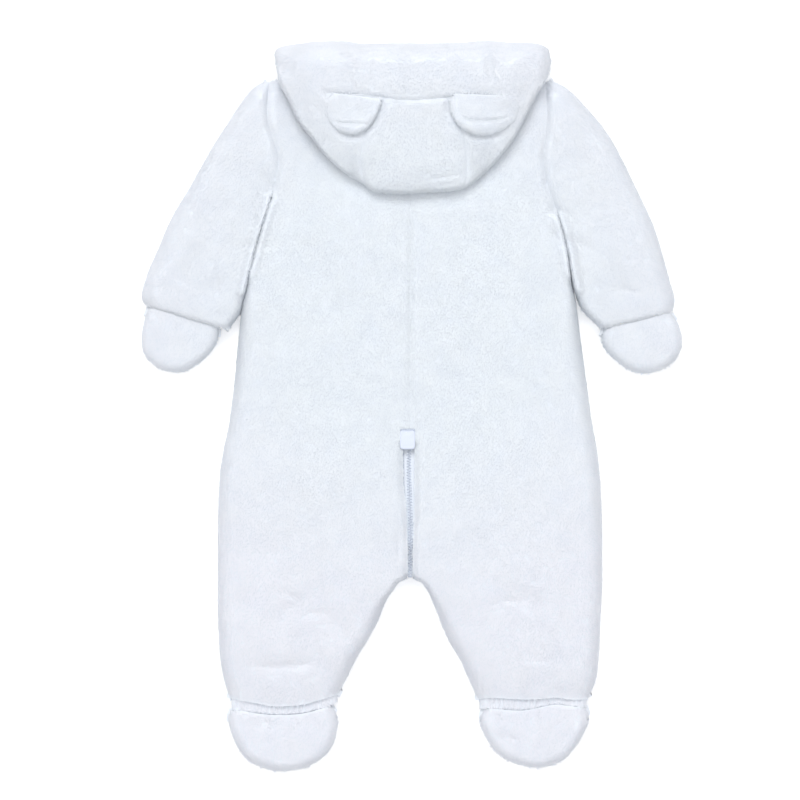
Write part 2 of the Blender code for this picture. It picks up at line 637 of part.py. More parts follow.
def two_pads(names, loop, free, seam, crown, root_crown, finish):
    """Upper and lower pad of a mitten or foot, meeting at the seam plane."""
    def swell(plan):
        away = distance(plan, free)
        full = root_crown + (crown - root_crown) * ease(distance(plan, seam) / ROOT_RAMP)
        rise = (full - EDGE_WALL) * dome(away, EDGE_ROUND)
        return SEAM_PLANE + SEAM_GAP / 2 + EDGE_WALL + rise

    def hang(plan):
        pinch = groove(distance(plan, seam), ANKLE_LIFT, 9.0)
        edge = SEAM_PLANE - SEAM_GAP / 2 - EDGE_WALL
        return np.minimum(edge, edge * (1 - dome(distance(plan, free), UNDER_ROUND)) + pinch)

    pad(names[0], loop, swell, SEAM_PLANE + SEAM_GAP / 2, finish)
    pad(names[1], loop, hang, SEAM_PLANE - SEAM_GAP / 2, finish)


def mitten(side, points, finish):
    seam = curve((points[-1], points[0]), 8)
    loop, free = closed_loop(points, seam, PAD_POINTS - 6)
    names = (f"mitten_{side}_back", f"mitten_{side}_palm")
    two_pads(names, loop, free, seam, MITTEN_CROWN, MITTEN_ROOT_CROWN, finish)


def foot(side, points, table, finish):
    x = np.linspace(points[-1][0], points[0][0], 9)
    seam = np.stack([x, ankle_line(x, table, "lower") - SEAM_GAP - 0.1], axis=1)
    seam[0], seam[-1] = points[-1], points[0]
    loop, free = closed_loop(points, seam, PAD_POINTS - 6)
    names = (f"foot_{side}_sole", f"foot_{side}_upper")
    two_pads(names, loop, free, seam, FOOT_CROWN, FOOT_ROOT_CROWN, finish)


def ankle_band(side, table, finish):
    """Elastic casing round the ankle, one strip folded at the side of the leg."""
    rows = columns(table)
    drop = SEAM_GAP + 0.1
    outer_first = slice(None) if side == "left" else slice(None, None, -1)
    top = np.stack([rows["x"], rows["upper"] - drop], axis=1)[outer_first]
    bottom = np.stack([rows["x"], rows["lower"]], axis=1)[outer_first]
    top, bottom = curve(top, 13), curve(bottom, 13)
    left, right = curve((top[0], bottom[0]), 4), curve((top[-1], bottom[-1]), 4)
    plan = filled(top, bottom, left, right)
    away = nearest_edge(plan, [plan[:, 0], plan[:, -1]])
    roll = dome(nearest_edge(plan, [plan[0], plan[-1]]) + 1.2, 4.0)
    over = SEAM_PLANE + 2.0 + (ANKLE_CROWN - 2.0) * dome(away, 10.0) * roll
    under = SEAM_PLANE - 2.0 - (SEAM_PLANE - 2.0 - ANKLE_LIFT) * dome(away, 10.0) * roll
    over[:, 0] = under[:, 0] = SEAM_PLANE
    wall_share = FOLD_WALL / np.linalg.norm(plan[:, -1] - plan[:, 0], axis=1)
    folded("ankle_band_" + side, plan, over, under, finish, wall_share)


# ---------------------------------------------------------------------- hood

def hood_section(plan, column):
    """Height of the crown layer's under or upper side by how far up the garment it lies."""
    profile = refined(HOOD_PROFILE, 6)
    return np.interp(plan[..., 1], profile["y"], profile[column])


def hood_piece(name, edges, free, grooves, finish):
    """Piece of the hood's crown layer between four edges, rounded only at its free ones."""
    plan = drawn_in(filled(*edges))
    under, full = hood_section(plan, "under"), hood_section(plan, "over")
    away = nearest_edge(plan, free)
    height = full - fold_depth(plan)
    for path, size in grooves:
        height -= groove(distance(plan, path), *size)
    wall = EDGE_WALL + 0.6
    over = under + wall + (height - under - wall) * dome(away, HOOD_ROUND)
    shell(name, lifted(plan, over), lifted(plan, under), finish)


def hood_crown(finish):
    """Upper layer of the hood: centre, two sides and the band round the face opening."""
    side_count, middle_count, down_count, band_rows = 10, 9, 9, 7
    seam_left = curve(BAND_SEAM_LEFT, side_count)
    seam_middle = curve(BAND_SEAM_MIDDLE, middle_count)
    seam_right = curve(BAND_SEAM_RIGHT, side_count)
    band_seam = np.concatenate([seam_left, seam_middle[1:], seam_right[1:]])
    crown_left, crown_right = curve(CROWN_SEAM_LEFT, down_count), curve(CROWN_SEAM_RIGHT, down_count)
    side_left, side_right = curve(SIDE_EDGE_LEFT, down_count), curve(SIDE_EDGE_RIGHT, down_count)
    fold_left, fold_right = curve(FOLD_EDGE_LEFT, side_count), curve(FOLD_EDGE_RIGHT, side_count)
    fold_middle = curve(FOLD_EDGE_MIDDLE, middle_count)
    top = curve(HOOD_TOP, len(band_seam))
    ends = curve(HOOD_LEFT_END, band_rows), curve(HOOD_RIGHT_END, band_rows)
    free = (top, *ends, side_left, side_right, fold_left, fold_middle, fold_right)
    grooves = (
        (band_seam, HOOD_GROOVE["band"]),
        (crown_left, HOOD_GROOVE["crown"]),
        (crown_right, HOOD_GROOVE["crown"]),
    )
    pieces = {
        "hood_band": (top, band_seam, *ends),
        "hood_side_left": (seam_left, fold_left, side_left, crown_left),
        "hood_centre": (seam_middle, fold_middle, crown_left, crown_right),
        "hood_side_right": (seam_right, fold_right, crown_right, side_right),
    }
    for name, edges in pieces.items():
        hood_piece(name, edges, free, grooves, finish)


def hood_nape(finish):
    """Lower layer of the hood, from the neck seam down to the fold."""
    plan = filled(curve(NAPE_TOP, 12), curve(NAPE_BOTTOM, 12), curve(NAPE_LEFT, 9), curve(NAPE_RIGHT, 9))
    away = nearest_edge(plan, [curve(NAPE_LEFT, 40), curve(NAPE_BOTTOM, 40), curve(NAPE_RIGHT, 40)])
    over = HOOD_REST + EDGE_WALL + (NAPE_THICK - EDGE_WALL) * dome(away, 6.0)
    shell("hood_nape", lifted(plan, over), lifted(plan, HOOD_REST), finish, flat="lower")


def ear(side, points, finish):
    seam = curve((points[-1], points[0]), 7)
    loop, free = closed_loop(points, seam, PAD_POINTS - 8)

    def swell(plan):
        away = nearest_edge(plan, [free, seam])
        rise = (EAR_CROWN - EAR_WALL) * dome(away, EAR_ROUND)
        dent = groove(distance(plan, free[6:-6] + np.array([0.0, 9.0])), 1.4, 4.0)
        return EAR_REST + EAR_WALL + rise - dent * dome(away, EAR_ROUND)

    pad("ear_" + side, loop, swell, EAR_REST, finish)


def throat(side, finish):
    """Front of the hood, from the top of the zip round the neckline to the shoulder."""
    away = -1 if side == "left" else 1
    out = np.linspace(ZIP_FRONT_HALF - 3.9, NECK_HALF, 9)
    neckline = top_line(CENTRE_X + out, FRONT_NECK_Y) + SEAM_GAP + 0.2
    low = np.stack([CENTRE_X + away * out, neckline], axis=1)
    top_start = np.array([low[0, 0], FRONT_NECK_Y + THROAT_HEIGHT])
    top_end = np.array([CENTRE_X + away * (abs(THROAT_OUTER_END[0]) - CENTRE_X), THROAT_OUTER_END[1]])
    bend = np.array([CENTRE_X + away * 30.0, 272.0])
    high = curve((top_start, bend, top_end), 9)
    plan = filled(high, low, curve((high[0], low[0]), 4), curve((high[-1], low[-1]), 4))
    free = [plan[0], plan[:, -1]]
    flat = SEAM_PLANE - SEAM_GAP / 2
    height = np.minimum(front_height(plan, free), flat - EDGE_WALL)
    height += groove(distance(plan, plan[-1]), 1.6, 4.0)
    height = np.minimum(height, flat - EDGE_WALL)
    shell("hood_throat_" + side, lifted(plan, flat), lifted(plan, height), finish, flat="upper")


# ----------------------------------------------------------------------- zip

def zip_path():
    """Middle line of the strip as x, y, z: down the back, round the crotch, up the front."""
    rows = refined(ZIP_CENTRE, 2)
    back_z = ZIP_BACK_Z - ZIP_THICK / 2
    front_z = ZIP_FRONT_Z + ZIP_THICK / 2
    fall = ease((ZIP_CENTRE[4][0] - rows["y"]) / 12.0) * ZIP_TURN_RISE
    back = np.stack([rows["x"], rows["y"], back_z - fall], axis=1)
    low_y = rows["y"][-1]
    top_z, radius = back[-1, 2], (back[-1, 2] - front_z) / 2
    angles = np.linspace(0, math.pi, 9)[1:]
    turn = np.stack([
        np.full(8, CENTRE_X),
        low_y - np.sin(angles) * radius * 0.55,
        top_z - radius + np.cos(angles) * radius,
    ], axis=1)
    y = np.linspace(low_y, ZIP_FRONT_TOP_Y, 16)[1:]
    front = np.stack([np.full(15, CENTRE_X), y, np.full(15, front_z)], axis=1)
    return np.concatenate([back, turn, front])


def band_along(path, half_width, thick):
    """Points and faces of a flat band carried along a path, square to it in the y-z plane."""
    ahead = np.gradient(path, axis=0)
    up = np.stack([np.zeros(len(path)), -ahead[:, 2], ahead[:, 1]], axis=1)
    up /= np.linalg.norm(up, axis=1)[:, None]
    grid = path[:, None] + np.array([[[-half_width, 0, 0], [half_width, 0, 0]]])
    half = up[:, None] * thick / 2
    return wall_between(grid + half, grid - half)


def zip_strip(finish):
    add_object("zip_strip", *band_along(zip_path(), ZIP_HALF, ZIP_THICK), finish)


def zip_guard(finish):
    """Plain cloth tab over the top end of the back zip, with rounded corners."""
    bpy.ops.mesh.primitive_cube_add(size=1)
    obj = bpy.context.object
    obj.name = obj.data.name = "zip_guard"
    obj.data.transform(scaling(GUARD["width"], GUARD["height"], GUARD["thick"]))
    obj.location = (GUARD["x"] * MM, GUARD["y"] * MM, (GUARD["rest_z"] + GUARD["thick"] / 2) * MM)
    round_edges(obj, 0.8, 2)
    adopt(obj, finish)


def scaling(x, y, z):
    return Matrix.Diagonal((x * MM, y * MM, z * MM, 1))


def round_edges(obj, width, segments):
    bevel = obj.modifiers.new("rounded_edges", "BEVEL")
    bevel.width = width * MM
    bevel.segments = segments
    bevel.limit_method = "ANGLE"


def adopt(obj, finish):
    """Moves an object into the garment's collection and gives it its finish."""
    for home in list(obj.users_collection):
        home.objects.unlink(obj)
    bpy.data.collections[COLLECTION].objects.link(obj)
    obj.data.materials.clear()
    obj.data.materials.append(finish)


def zip_slider(finish):
    """Rounded block that closes the top of the front zip, joined with an arched bridge under it."""
    middle = (SLIDER["low_z"] + SLIDER["high_z"]) / 2
    bpy.ops.mesh.primitive_cube_add(size=1)
    obj = bpy.context.object
    obj.name = obj.data.name = "zip_slider"
    obj.data.transform(scaling(SLIDER["width"], SLIDER["length"], SLIDER["high_z"] - SLIDER["low_z"]))
    obj.location = (CENTRE_X * MM, SLIDER["y"] * MM, middle * MM)
    round_edges(obj, SLIDER["rounding"], 2)
    adopt(obj, finish)

    angle = np.linspace(0, math.pi, 13)
    path = np.stack([
        np.full(13, CENTRE_X),
        SLIDER["y"] + BRIDGE["reach"] * np.cos(angle),
        BRIDGE["spring_z"] - BRIDGE["depth"] * np.sin(angle),
    ], axis=1)
    bridge = add_object("zip_bridge", *band_along(path, BRIDGE["width"] / 2, BRIDGE["thick"]), finish)
    bpy.data.collections[COLLECTION].objects.unlink(bridge)
    bpy.data.collections[CUTTERS].objects.link(bridge)
    bridge.hide_render = True
    bridge.display_type = "WIRE"
    union = obj.modifiers.new("bridge", "BOOLEAN")
    union.operation = "UNION"
    union.object = bridge


def zip_pull(finish):
    """Flat tab hung by its eye on the slider's bridge; its origin is on the hinge line."""
    outline = (
        (-TAB["eye_half"], TAB["bar"]), (TAB["eye_half"], TAB["bar"]),
        (TAB["eye_half"], -TAB["hole_end"] - 1.4), (TAB["grip_half"], -TAB["hole_end"] - 3.4),
        (TAB["grip_half"], 1.2 - TAB["length"]), (TAB["grip_half"] - 1.2, -TAB["length"]),
        (1.2 - TAB["grip_half"], -TAB["length"]), (-TAB["grip_half"], 1.2 - TAB["length"]),
        (-TAB["grip_half"], -TAB["hole_end"] - 3.4), (-TAB["eye_half"], -TAB["hole_end"] - 1.4),
    )
    hole = (
        (-TAB["hole_half"], -TAB["bar"]), (-TAB["hole_half"], -TAB["hole_end"]),
        (TAB["hole_half"], -TAB["hole_end"]), (TAB["hole_half"], -TAB["bar"]),
    )
    shape = bpy.data.curves.new("zip_pull", "CURVE")
    shape.dimensions = "2D"
    shape.fill_mode = "BOTH"
    shape.extrude = TAB["thick"] / 2 * MM
    for points in (outline, hole):
        spline = shape.splines.new("POLY")
        spline.points.add(len(points) - 1)
        spline.use_cyclic_u = True
        for point, (x, y) in zip(spline.points, points):
            point.co = (x * MM, y * MM, 0, 1)
    obj = bpy.data.objects.new("zip_pull", shape)
    bpy.data.collections[COLLECTION].objects.link(obj)
    shape.materials.append(finish)
    obj.location = (CENTRE_X * MM, SLIDER["y"] * MM, HINGE_Z * MM)
    obj.rotation_euler.x = TAB_REST_TILT


# ----------------------------------------------------------------- build all

def material(name, colour, roughness, metallic=0.0):
    made = bpy.data.materials.new(name)
    made.use_nodes = True
    shader = made.node_tree.nodes["Principled BSDF"]
    shader.inputs["Base Color"].default_value = colour
    shader.inputs["Roughness"].default_value = roughness
    shader.inputs["Metallic"].default_value = metallic
    return made


def main():
    for obj in list(bpy.data.objects):
        bpy.data.objects.remove(obj)
    for name in (COLLECTION, CUTTERS):
        bpy.context.scene.collection.children.link(bpy.data.collections.new(name))
    fur = material("faux_fur", *FUR)
    for side in ("left", "right"):
        back_panel(side, fur)
        front_panel(side, fur)
        throat(side, fur)
    sleeve("left", SLEEVE_LEFT, fur)
    sleeve("right", SLEEVE_RIGHT, fur)
    mitten("left", MITTEN_LEFT, fur)
    mitten("right", MITTEN_RIGHT, fur)
    foot("left", FOOT_LEFT, ANKLE_LEFT, fur)
    foot("right", FOOT_RIGHT, ANKLE_RIGHT, fur)
    ankle_band("left", ANKLE_LEFT, fur)
    ankle_band("right", ANKLE_RIGHT, fur)
    hood_nape(fur)
    hood_crown(fur)
    ear("left", EAR_LEFT, fur)
    ear("right", EAR_RIGHT, fur)
    zip_strip(material("zip_tape", *ZIP_TAPE))
    zip_guard(material("guard_cloth", *GUARD_CLOTH))
    metal = material("slider_metal", *SLIDER_METAL, metallic=0.9)
    zip_slider(metal)
    zip_pull(metal)


main()
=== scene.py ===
"""Looks of a baby's faux fur pramsuit that lies flat on its front, with its back up.

Each cloth piece is a fine surface worked out in millimetres from the garment's own tables,
sunk below the pile's tips and given the thickness of the cloth. The pile is bent tufts that
grow out of it. x runs towards the wearer's right, y towards the head, z up from the floor.
"""
import itertools
import math

import bpy
import numpy as np
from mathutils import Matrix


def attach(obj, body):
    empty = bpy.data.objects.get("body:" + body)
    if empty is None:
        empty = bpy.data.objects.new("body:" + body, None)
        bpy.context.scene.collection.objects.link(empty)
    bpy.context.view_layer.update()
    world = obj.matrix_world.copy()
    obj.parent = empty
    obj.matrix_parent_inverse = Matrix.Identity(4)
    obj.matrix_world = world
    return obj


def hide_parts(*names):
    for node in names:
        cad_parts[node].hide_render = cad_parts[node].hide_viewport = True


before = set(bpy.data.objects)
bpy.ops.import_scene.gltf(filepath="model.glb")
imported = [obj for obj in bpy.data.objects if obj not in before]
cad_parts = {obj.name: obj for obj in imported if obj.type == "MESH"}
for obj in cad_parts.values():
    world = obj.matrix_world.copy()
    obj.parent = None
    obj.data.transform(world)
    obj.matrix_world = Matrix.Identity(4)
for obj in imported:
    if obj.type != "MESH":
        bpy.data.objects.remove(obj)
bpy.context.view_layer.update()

MM = 0.001
SUIT = "suit"

SIGN = {"left": -1, "right": 1}   # the side of the middle, along x

# Layers, as heights over the floor, and how far in from an edge they are rounded
SEAM_PLANE = 13.0      # where the front layer meets the back layer
SEAM_GAP = 0.3
BACK_FLAT = SEAM_PLANE + SEAM_GAP / 2
FRONT_FLAT = SEAM_PLANE - SEAM_GAP / 2
EDGE_WALL = 1.4        # height that an edge keeps below its rounding
EDGE_ROUND = 14.0
UNDER_ROUND = 13.0
BROAD_RISE = {"body": 2.5, "sleeve": 2.0}   # slow further rise towards a piece's middle
BROAD_ROUND = 60.0
HOOD_REST = 30.4
NAPE_THICK = 6.6
CROWN_UNDER = HOOD_REST + NAPE_THICK + SEAM_GAP

# Torso and legs by height, from the shoulders down to the ankles
BODY = (
    ("y", "left_side", "left_inner", "right_inner", "right_side", "crown"),
    (275.0, -120.5, -1.45, -1.55, 114.0, 14.2),
    (260.0, -122.5, -1.45, -1.55, 114.3, 14.2),
    (244.0, -122.8, -1.45, -1.55, 114.8, 14.2),
    (226.0, -118.0, -1.45, -1.55, 113.2, 14.2),
    (207.0, -113.2, -1.45, -1.55, 111.8, 14.2),
    (192.0, -115.6, -1.45, -1.55, 113.8, 14.2),
    (176.0, -119.0, -1.45, -1.55, 118.8, 14.4),
    (160.0, -124.2, -1.45, -1.55, 124.5, 15.0),
    (134.0, -131.6, -1.45, -1.55, 131.2, 16.0),
    (110.0, -138.4, -1.45, -1.55, 134.8, 16.4),
    (86.0, -143.5, -1.45, -1.55, 139.4, 16.5),
    (55.0, -147.0, -1.45, -1.55, 143.2, 16.5),
    (21.0, -150.2, -1.45, -1.55, 148.0, 16.5),
    (-8.0, -153.6, -1.45, -1.55, 151.8, 16.5),
    (-22.0, -156.0, -1.75, -1.25, 154.2, 16.5),
    (-35.0, -159.0, -7.6, 2.2, 156.6, 16.5),
    (-58.0, -162.6, -7.6, 2.4, 159.4, 16.4),
    (-88.0, -164.2, -5.0, 2.2, 161.2, 16.2),
    (-115.0, -164.6, -4.0, 1.4, 161.6, 15.8),
    (-134.0, -164.6, -3.6, 0.8, 161.7, 15.4),
    (-146.5, -164.6, -3.8, 0.8, 161.7, 15.2),
    (-151.5, -164.6, -11.4, 8.6, 161.6, 15.2),
    (-157.5, -164.6, -15.8, 13.2, 161.5, 15.2),
    (-168.0, -164.6, -22.6, 18.2, 161.0, 15.2),
    (-183.0, -164.4, -28.4, 24.2, 160.2, 15.2),
    (-200.0, -163.6, -37.6, 31.4, 159.5, 15.0),
    (-217.0, -162.4, -47.8, 41.4, 158.4, 14.4),
    (-234.0, -159.4, -55.2, 49.0, 156.2, 13.0),
    (-251.0, -154.4, -62.6, 56.8, 149.6, 10.6),
)
# Rows of BODY at the underarm (and of SLEEVES too), at the crotch and at the back zip's top
UNDERARM = {"left": 6, "right": 7}
CROTCH = 20
ZIP_TOP = 14
# The edge is rounded more tightly beside the arm, and at the crotch, by these shares more
ARM_TIGHT = {"low_y": 60.0, "over": 45.0, "more": 1.1}
CROTCH_TIGHT = {"y": -147.0, "half": 20.0, "more": 1.8}

CENTRE_X = -1.5
NECK_HALF = 57.0
NECK_POINT_Y = 287.0
ARMHOLE_TOP_Y = 275.0
ARMHOLE_HALF = 118.0
BACK_NECK_Y = 279.0
FRONT_NECK_Y = 246.0
SHOULDER_CURVE = 1.3
NECK_CURVE = 2.2
TOP_BLEND_Y = 192.0    # the rows above it bend to the shoulders, as those below to the ankle

# Ankle seams: upper and lower edge of each ankle band
ANKLES = {
    "left": (
        ("x", "upper", "lower"),
        (-155.0, -249.5, -259.5),
        (-146.0, -251.0, -259.6),
        (-133.0, -253.4, -261.8),
        (-117.0, -256.2, -263.4),
        (-96.0, -255.4, -262.6),
        (-78.0, -250.8, -258.4),
        (-61.5, -246.2, -253.0),
    ),
    "right": (
        ("x", "upper", "lower"),
        (56.0, -251.0, -258.6),
        (68.0, -249.0, -258.2),
        (92.0, -250.4, -259.6),
        (107.0, -250.2, -257.4),
        (122.0, -248.8, -254.6),
        (136.0, -250.6, -256.0),
        (150.5, -250.4, -257.2),
    ),
}
BOTTOM_BLEND_Y = -217.0
ANKLE_MEAN_Y = -251.0
ANKLE_CROWN = 9.2
ANKLE_LIFT = 5.4       # how far the underside is drawn up at the ankle, and how far round it
LIFT_WIDTH = {"leg": 8.0, "pad": 9.0}
ANKLE_BAND = {"tucked": 1.2, "drawn_in": 0.035, "edge": 2.0, "round": 10.0}
ANKLE_PILE = (0.7, 0.3)  # share of its length at the band's ends, and the rest
BAND_ROLL = {"edge": 1.7, "ends": 1.6, "from": 0.45, "over": 0.4, "round": 4.0}
BAND_COLUMNS, BAND_ROWS = 121, 11
GATHERS = {"pitch": 4.6, "wander": 1.3, "high": 0.45}

# Sleeves by section, from the shoulder down to the cuff
SLEEVES = {
    "left": (
        ("outer_x", "outer_y", "inner_x", "inner_y", "crown"),
        (-123.4, 275.2, -121.4, 273.6, 6.0),
        (-136.0, 267.5, -122.8, 259.0, 12.0),
        (-148.5, 251.0, -123.1, 243.0, 14.0),
        (-159.5, 233.8, -118.3, 226.0, 14.0),
        (-170.5, 216.6, -113.6, 207.5, 14.0),
        (-180.0, 199.6, -115.8, 192.0, 14.0),
        (-189.6, 182.6, -119.5, 176.0, 14.0),
        (-200.2, 165.4, -124.6, 160.6, 14.0),
        (-208.6, 148.4, -129.0, 147.0, 14.0),
        (-215.6, 131.4, -133.6, 131.0, 14.0),
        (-223.2, 114.6, -138.0, 114.0, 14.0),
        (-228.4, 98.0, -142.2, 96.0, 13.6),
        (-229.3, 90.0, -146.2, 80.0, 13.0),
        (-226.6, 85.0, -155.5, 64.0, 12.0),
    ),
    "right": (
        ("outer_x", "outer_y", "inner_x", "inner_y", "crown"),
        (117.4, 276.0, 114.8, 274.0, 6.0),
        (131.4, 268.8, 114.7, 260.0, 12.0),
        (143.4, 257.4, 115.3, 244.0, 14.0),
        (157.4, 242.0, 113.7, 226.0, 14.0),
        (169.4, 225.2, 112.3, 207.0, 14.0),
        (178.8, 208.0, 114.3, 192.0, 14.0),
        (187.0, 191.0, 119.3, 176.0, 14.0),
        (195.2, 174.0, 125.0, 160.0, 14.0),
        (203.2, 157.0, 129.6, 145.0, 14.0),
        (209.4, 140.0, 133.2, 130.0, 14.0),
        (214.2, 123.0, 136.0, 113.0, 14.0),
        (219.0, 106.0, 139.8, 97.0, 13.6),
        (223.2, 90.0, 146.0, 81.0, 13.0),
        (221.6, 79.4, 160.0, 64.6, 12.0),
    ),
}
CUFF_ROUND = 5.0
CUFF_SHARE, CUFF_SWELL = 0.8, 0.2   # share of the sleeve's height at the cuff, and the rest
UNDERARM_TIGHT = 1.9   # the underarm seam is rounded this much more tightly than the fold
PRESS = 1.5            # how far the arm presses into the torso's side below the armhole,
PRESS_ABOVE = 0.45     # and the share of it beside the armhole
PRESSED_UP = {"torso": 8.5, "sleeve": 7.5}   # and how far up the cloth goes there
PRESSED_WIDTH = 4.0

# Free edge of each mitten and foot, from one end of its seam round to the other
MITTENS = {
    "left": (
        (-222.6, 83.2), (-226.4, 73.0), (-229.3, 57.0), (-227.6, 44.6), (-220.6, 35.0),
        (-209.0, 28.6), (-196.0, 27.8), (-183.0, 33.6), (-172.6, 43.4), (-165.6, 54.0),
        (-164.2, 66.0),
    ),
    "right": (
        (163.6, 64.8), (161.2, 56.0), (165.2, 46.4), (173.6, 37.8), (184.0, 30.0),
        (196.6, 26.8), (209.0, 28.8), (219.6, 34.2), (227.0, 43.0), (229.3, 53.0),
        (226.8, 67.0), (219.4, 78.2),
    ),
}
FEET = {
    "left": (
        (-153.6, -259.9), (-155.4, -268.0), (-152.4, -281.0), (-146.4, -293.4),
        (-138.0, -302.4), (-125.4, -308.8), (-110.0, -311.5), (-93.0, -309.0),
        (-79.4, -302.4), (-69.6, -293.4), (-64.4, -280.0), (-63.4, -266.0), (-68.6, -256.0),
    ),
    "right": (
        (61.6, -259.1), (57.8, -268.0), (61.0, -278.0), (69.4, -292.6), (80.6, -301.8),
        (93.0, -306.4), (106.0, -308.4), (120.0, -306.0), (130.0, -300.8), (138.4, -291.6),
        (145.0, -281.0), (150.2, -268.0), (148.0, -257.5),
    ),
}
MITTEN_CROWN = 11.0
MITTEN_ROOT_CROWN = 10.0
FOOT_CROWN = 12.4
FOOT_ROOT_CROWN = 10.8
ROOT_RAMP = 22.0
PAD_ROUND = 9.0

# Hood in plan: each list runs from the wearer's left to the right, or from the top down
HOOD_TOP = (
    (-116.0, 303.6), (-107.0, 307.4), (-86.0, 309.6), (-71.0, 310.4), (-57.0, 309.8),
    (-39.0, 308.2), (0.0, 308.6), (40.0, 309.0), (58.0, 310.6), (67.5, 311.5),
    (77.0, 310.6), (96.0, 309.0), (108.0, 308.0), (116.6, 303.6),
)
HOOD_LEFT_END = ((-116.0, 303.6), (-118.0, 296.0), (-114.8, 287.2))
HOOD_RIGHT_END = ((116.6, 303.6), (118.8, 294.0), (115.4, 277.8))
BAND_SEAM_LEFT = (
    (-114.8, 287.2), (-100.0, 279.4), (-84.0, 272.0), (-71.0, 264.6), (-56.0, 263.4),
    (-40.0, 262.8), (-25.0, 260.2),
)
BAND_SEAM_MIDDLE = ((-25.0, 260.2), (-11.0, 258.2), (2.0, 258.0), (15.0, 258.8), (29.0, 260.2))
BAND_SEAM_RIGHT = (
    (29.0, 260.2), (49.0, 262.2), (71.0, 263.2), (88.0, 265.8), (102.0, 270.4), (115.4, 277.8),
)
CROWN_SEAM_LEFT = ((-25.0, 260.2), (-34.0, 243.6), (-40.4, 226.6), (-42.6, 207.0), (-40.0, 186.0))
CROWN_SEAM_RIGHT = ((29.0, 260.2), (37.6, 243.4), (43.6, 226.4), (46.4, 207.0), (45.0, 183.6))
SIDE_EDGE_LEFT = (
    (-114.8, 287.2), (-112.4, 273.6), (-104.6, 258.4), (-96.6, 241.0), (-85.0, 226.4),
    (-73.0, 211.4), (-61.0, 200.0), (-52.0, 194.0),
)
SIDE_EDGE_RIGHT = (
    (115.4, 277.8), (108.0, 266.4), (100.4, 252.0), (93.2, 237.0), (84.6, 222.8),
    (77.6, 213.4), (71.0, 205.6), (64.0, 199.2),
)
FOLD_EDGE_LEFT = ((-52.0, 194.0), (-46.0, 190.2), (-40.0, 186.0))
FOLD_EDGE_MIDDLE = (
    (-40.0, 186.0), (-34.6, 182.2), (-29.8, 180.4), (-18.0, 179.6), (-5.7, 179.4),
    (15.5, 180.4), (34.0, 181.6), (45.0, 183.6),
)
FOLD_EDGE_RIGHT = ((45.0, 183.6), (51.0, 187.4), (57.3, 192.8), (64.0, 199.2))
NAPE_TOP = ((-98.0, 257.0), (-60.0, 261.0), (0.0, 261.5), (60.0, 261.0), (96.0, 256.0))
NAPE_LEFT = ((-98.0, 257.0), (-90.0, 240.0), (-77.0, 224.0), (-63.0, 206.0), (-43.0, 191.0))
NAPE_RIGHT = (
    (96.0, 256.0), (88.0, 239.0), (77.5, 223.0), (66.0, 208.4), (58.0, 199.4), (52.0, 193.6),
    (46.0, 188.4),
)
NAPE_BOTTOM = (
    (-43.0, 191.0), (-33.0, 185.6), (-22.0, 183.4), (6.0, 183.2), (34.0, 184.6), (46.0, 188.4),
)
HOOD_PROFILE = (
    ("y", "under", "over"),
    (180.0, CROWN_UNDER, 47.6),
    (262.0, CROWN_UNDER, 48.0),
    (270.0, 36.8, 48.0),
    (277.0, 34.4, 47.4),
    (284.0, 28.6, 46.0),
    (291.0, 19.0, 43.4),
    (298.0, 9.6, 39.4),
    (304.0, 3.4, 34.0),
    (312.0, 0.0, 27.0),
)
HOOD_ROUND = 14.0
HOOD_SIDE_ROUND = 4.0
HOOD_FOLD_ROUND = 7.0
HOOD_SIDE_DROP = 4.0   # how far the hood's sides hang down beside the shoulders
HOOD_HANG = {"low_y": 192.0, "high_y": 258.0, "over": 26.0, "width": 6.0}   # and where
HOOD_FALL = {"side": (7.0, 40.0), "fold": (4.0, 30.0)}   # fall of the hood to its edges, width
HOOD_TROUGH = {"side": (5.0, 17.0), "fold": (2.0, 9.0)}   # sink of the cloth below it, width
SLEEVE_TROUGH = 0.8    # share of that sink on a sleeve
HOOD_EDGE = 0.6        # what the hood's edges keep above EDGE_WALL
HOOD_SAG = {"share": 0.42, "cell": 26.0, "low_y": 262.0, "over": 20.0}   # uneven end rounding
# Mouth between the hood's two layers: the groove's height, half width and depth, how far the
# lower layer is tucked in and over what height, and the cell size and share of their change
HOOD_MOUTH = {"z": 13.5, "half": 2.6, "deep": 3.0, "tuck": 2.4, "tuck_over": 8.0, "near": 4.0,
              "deep_noise": (30.0, 0.5), "tuck_noise": (17.0, 0.8)}
SEAM_FADE = {"x": -2.0, "half": 62.0, "over": 16.0, "share": 0.9}   # of its seams to both sides
EARS = {
    "left": (
        (-66.4, 264.0), (-70.8, 256.0), (-71.0, 246.4), (-67.6, 238.0), (-60.6, 231.8),
        (-52.0, 229.0), (-43.0, 230.4), (-35.6, 236.4), (-29.8, 246.4), (-25.6, 259.0),
    ),
    "right": (
        (36.6, 263.4), (33.0, 256.6), (33.6, 247.6), (38.0, 238.6), (45.6, 231.8),
        (57.0, 228.2), (69.6, 229.8), (81.0, 236.0), (88.4, 245.0), (90.4, 254.0),
        (83.4, 261.6),
    ),
}
EAR_ROUND = 9.0
EAR_BED = 46.0         # the ears' underside where they lie flat
EAR_LIFT = 2.2         # how far the raised part of an ear stands off the hood
EAR_RAISE = {"start": 0.36, "inward": 0.34, "across": 25.0, "downward": 0.52, "down": 18.0}
EAR_THICK = {"edge": 2.3, "flat": 1.0, "raised": 4.6}
EAR_RIM = (2.3, 1.5)   # depth and width of the groove inside its rim
EAR_RIMS = {
    "left": ((-70.0, 243.0), (-63.0, 239.6), (-50.0, 237.8), (-40.0, 238.2), (-34.0, 241.0)),
    "right": ((35.0, 252.0), (40.0, 243.4), (56.0, 240.4), (74.0, 241.4), (88.0, 248.0)),
}
THROAT_HEIGHT = 20.0
THROAT_BEND = (30.0, 272.0)        # out from the middle, and up the garment
THROAT_OUTER_END = (44.5, 290.0)

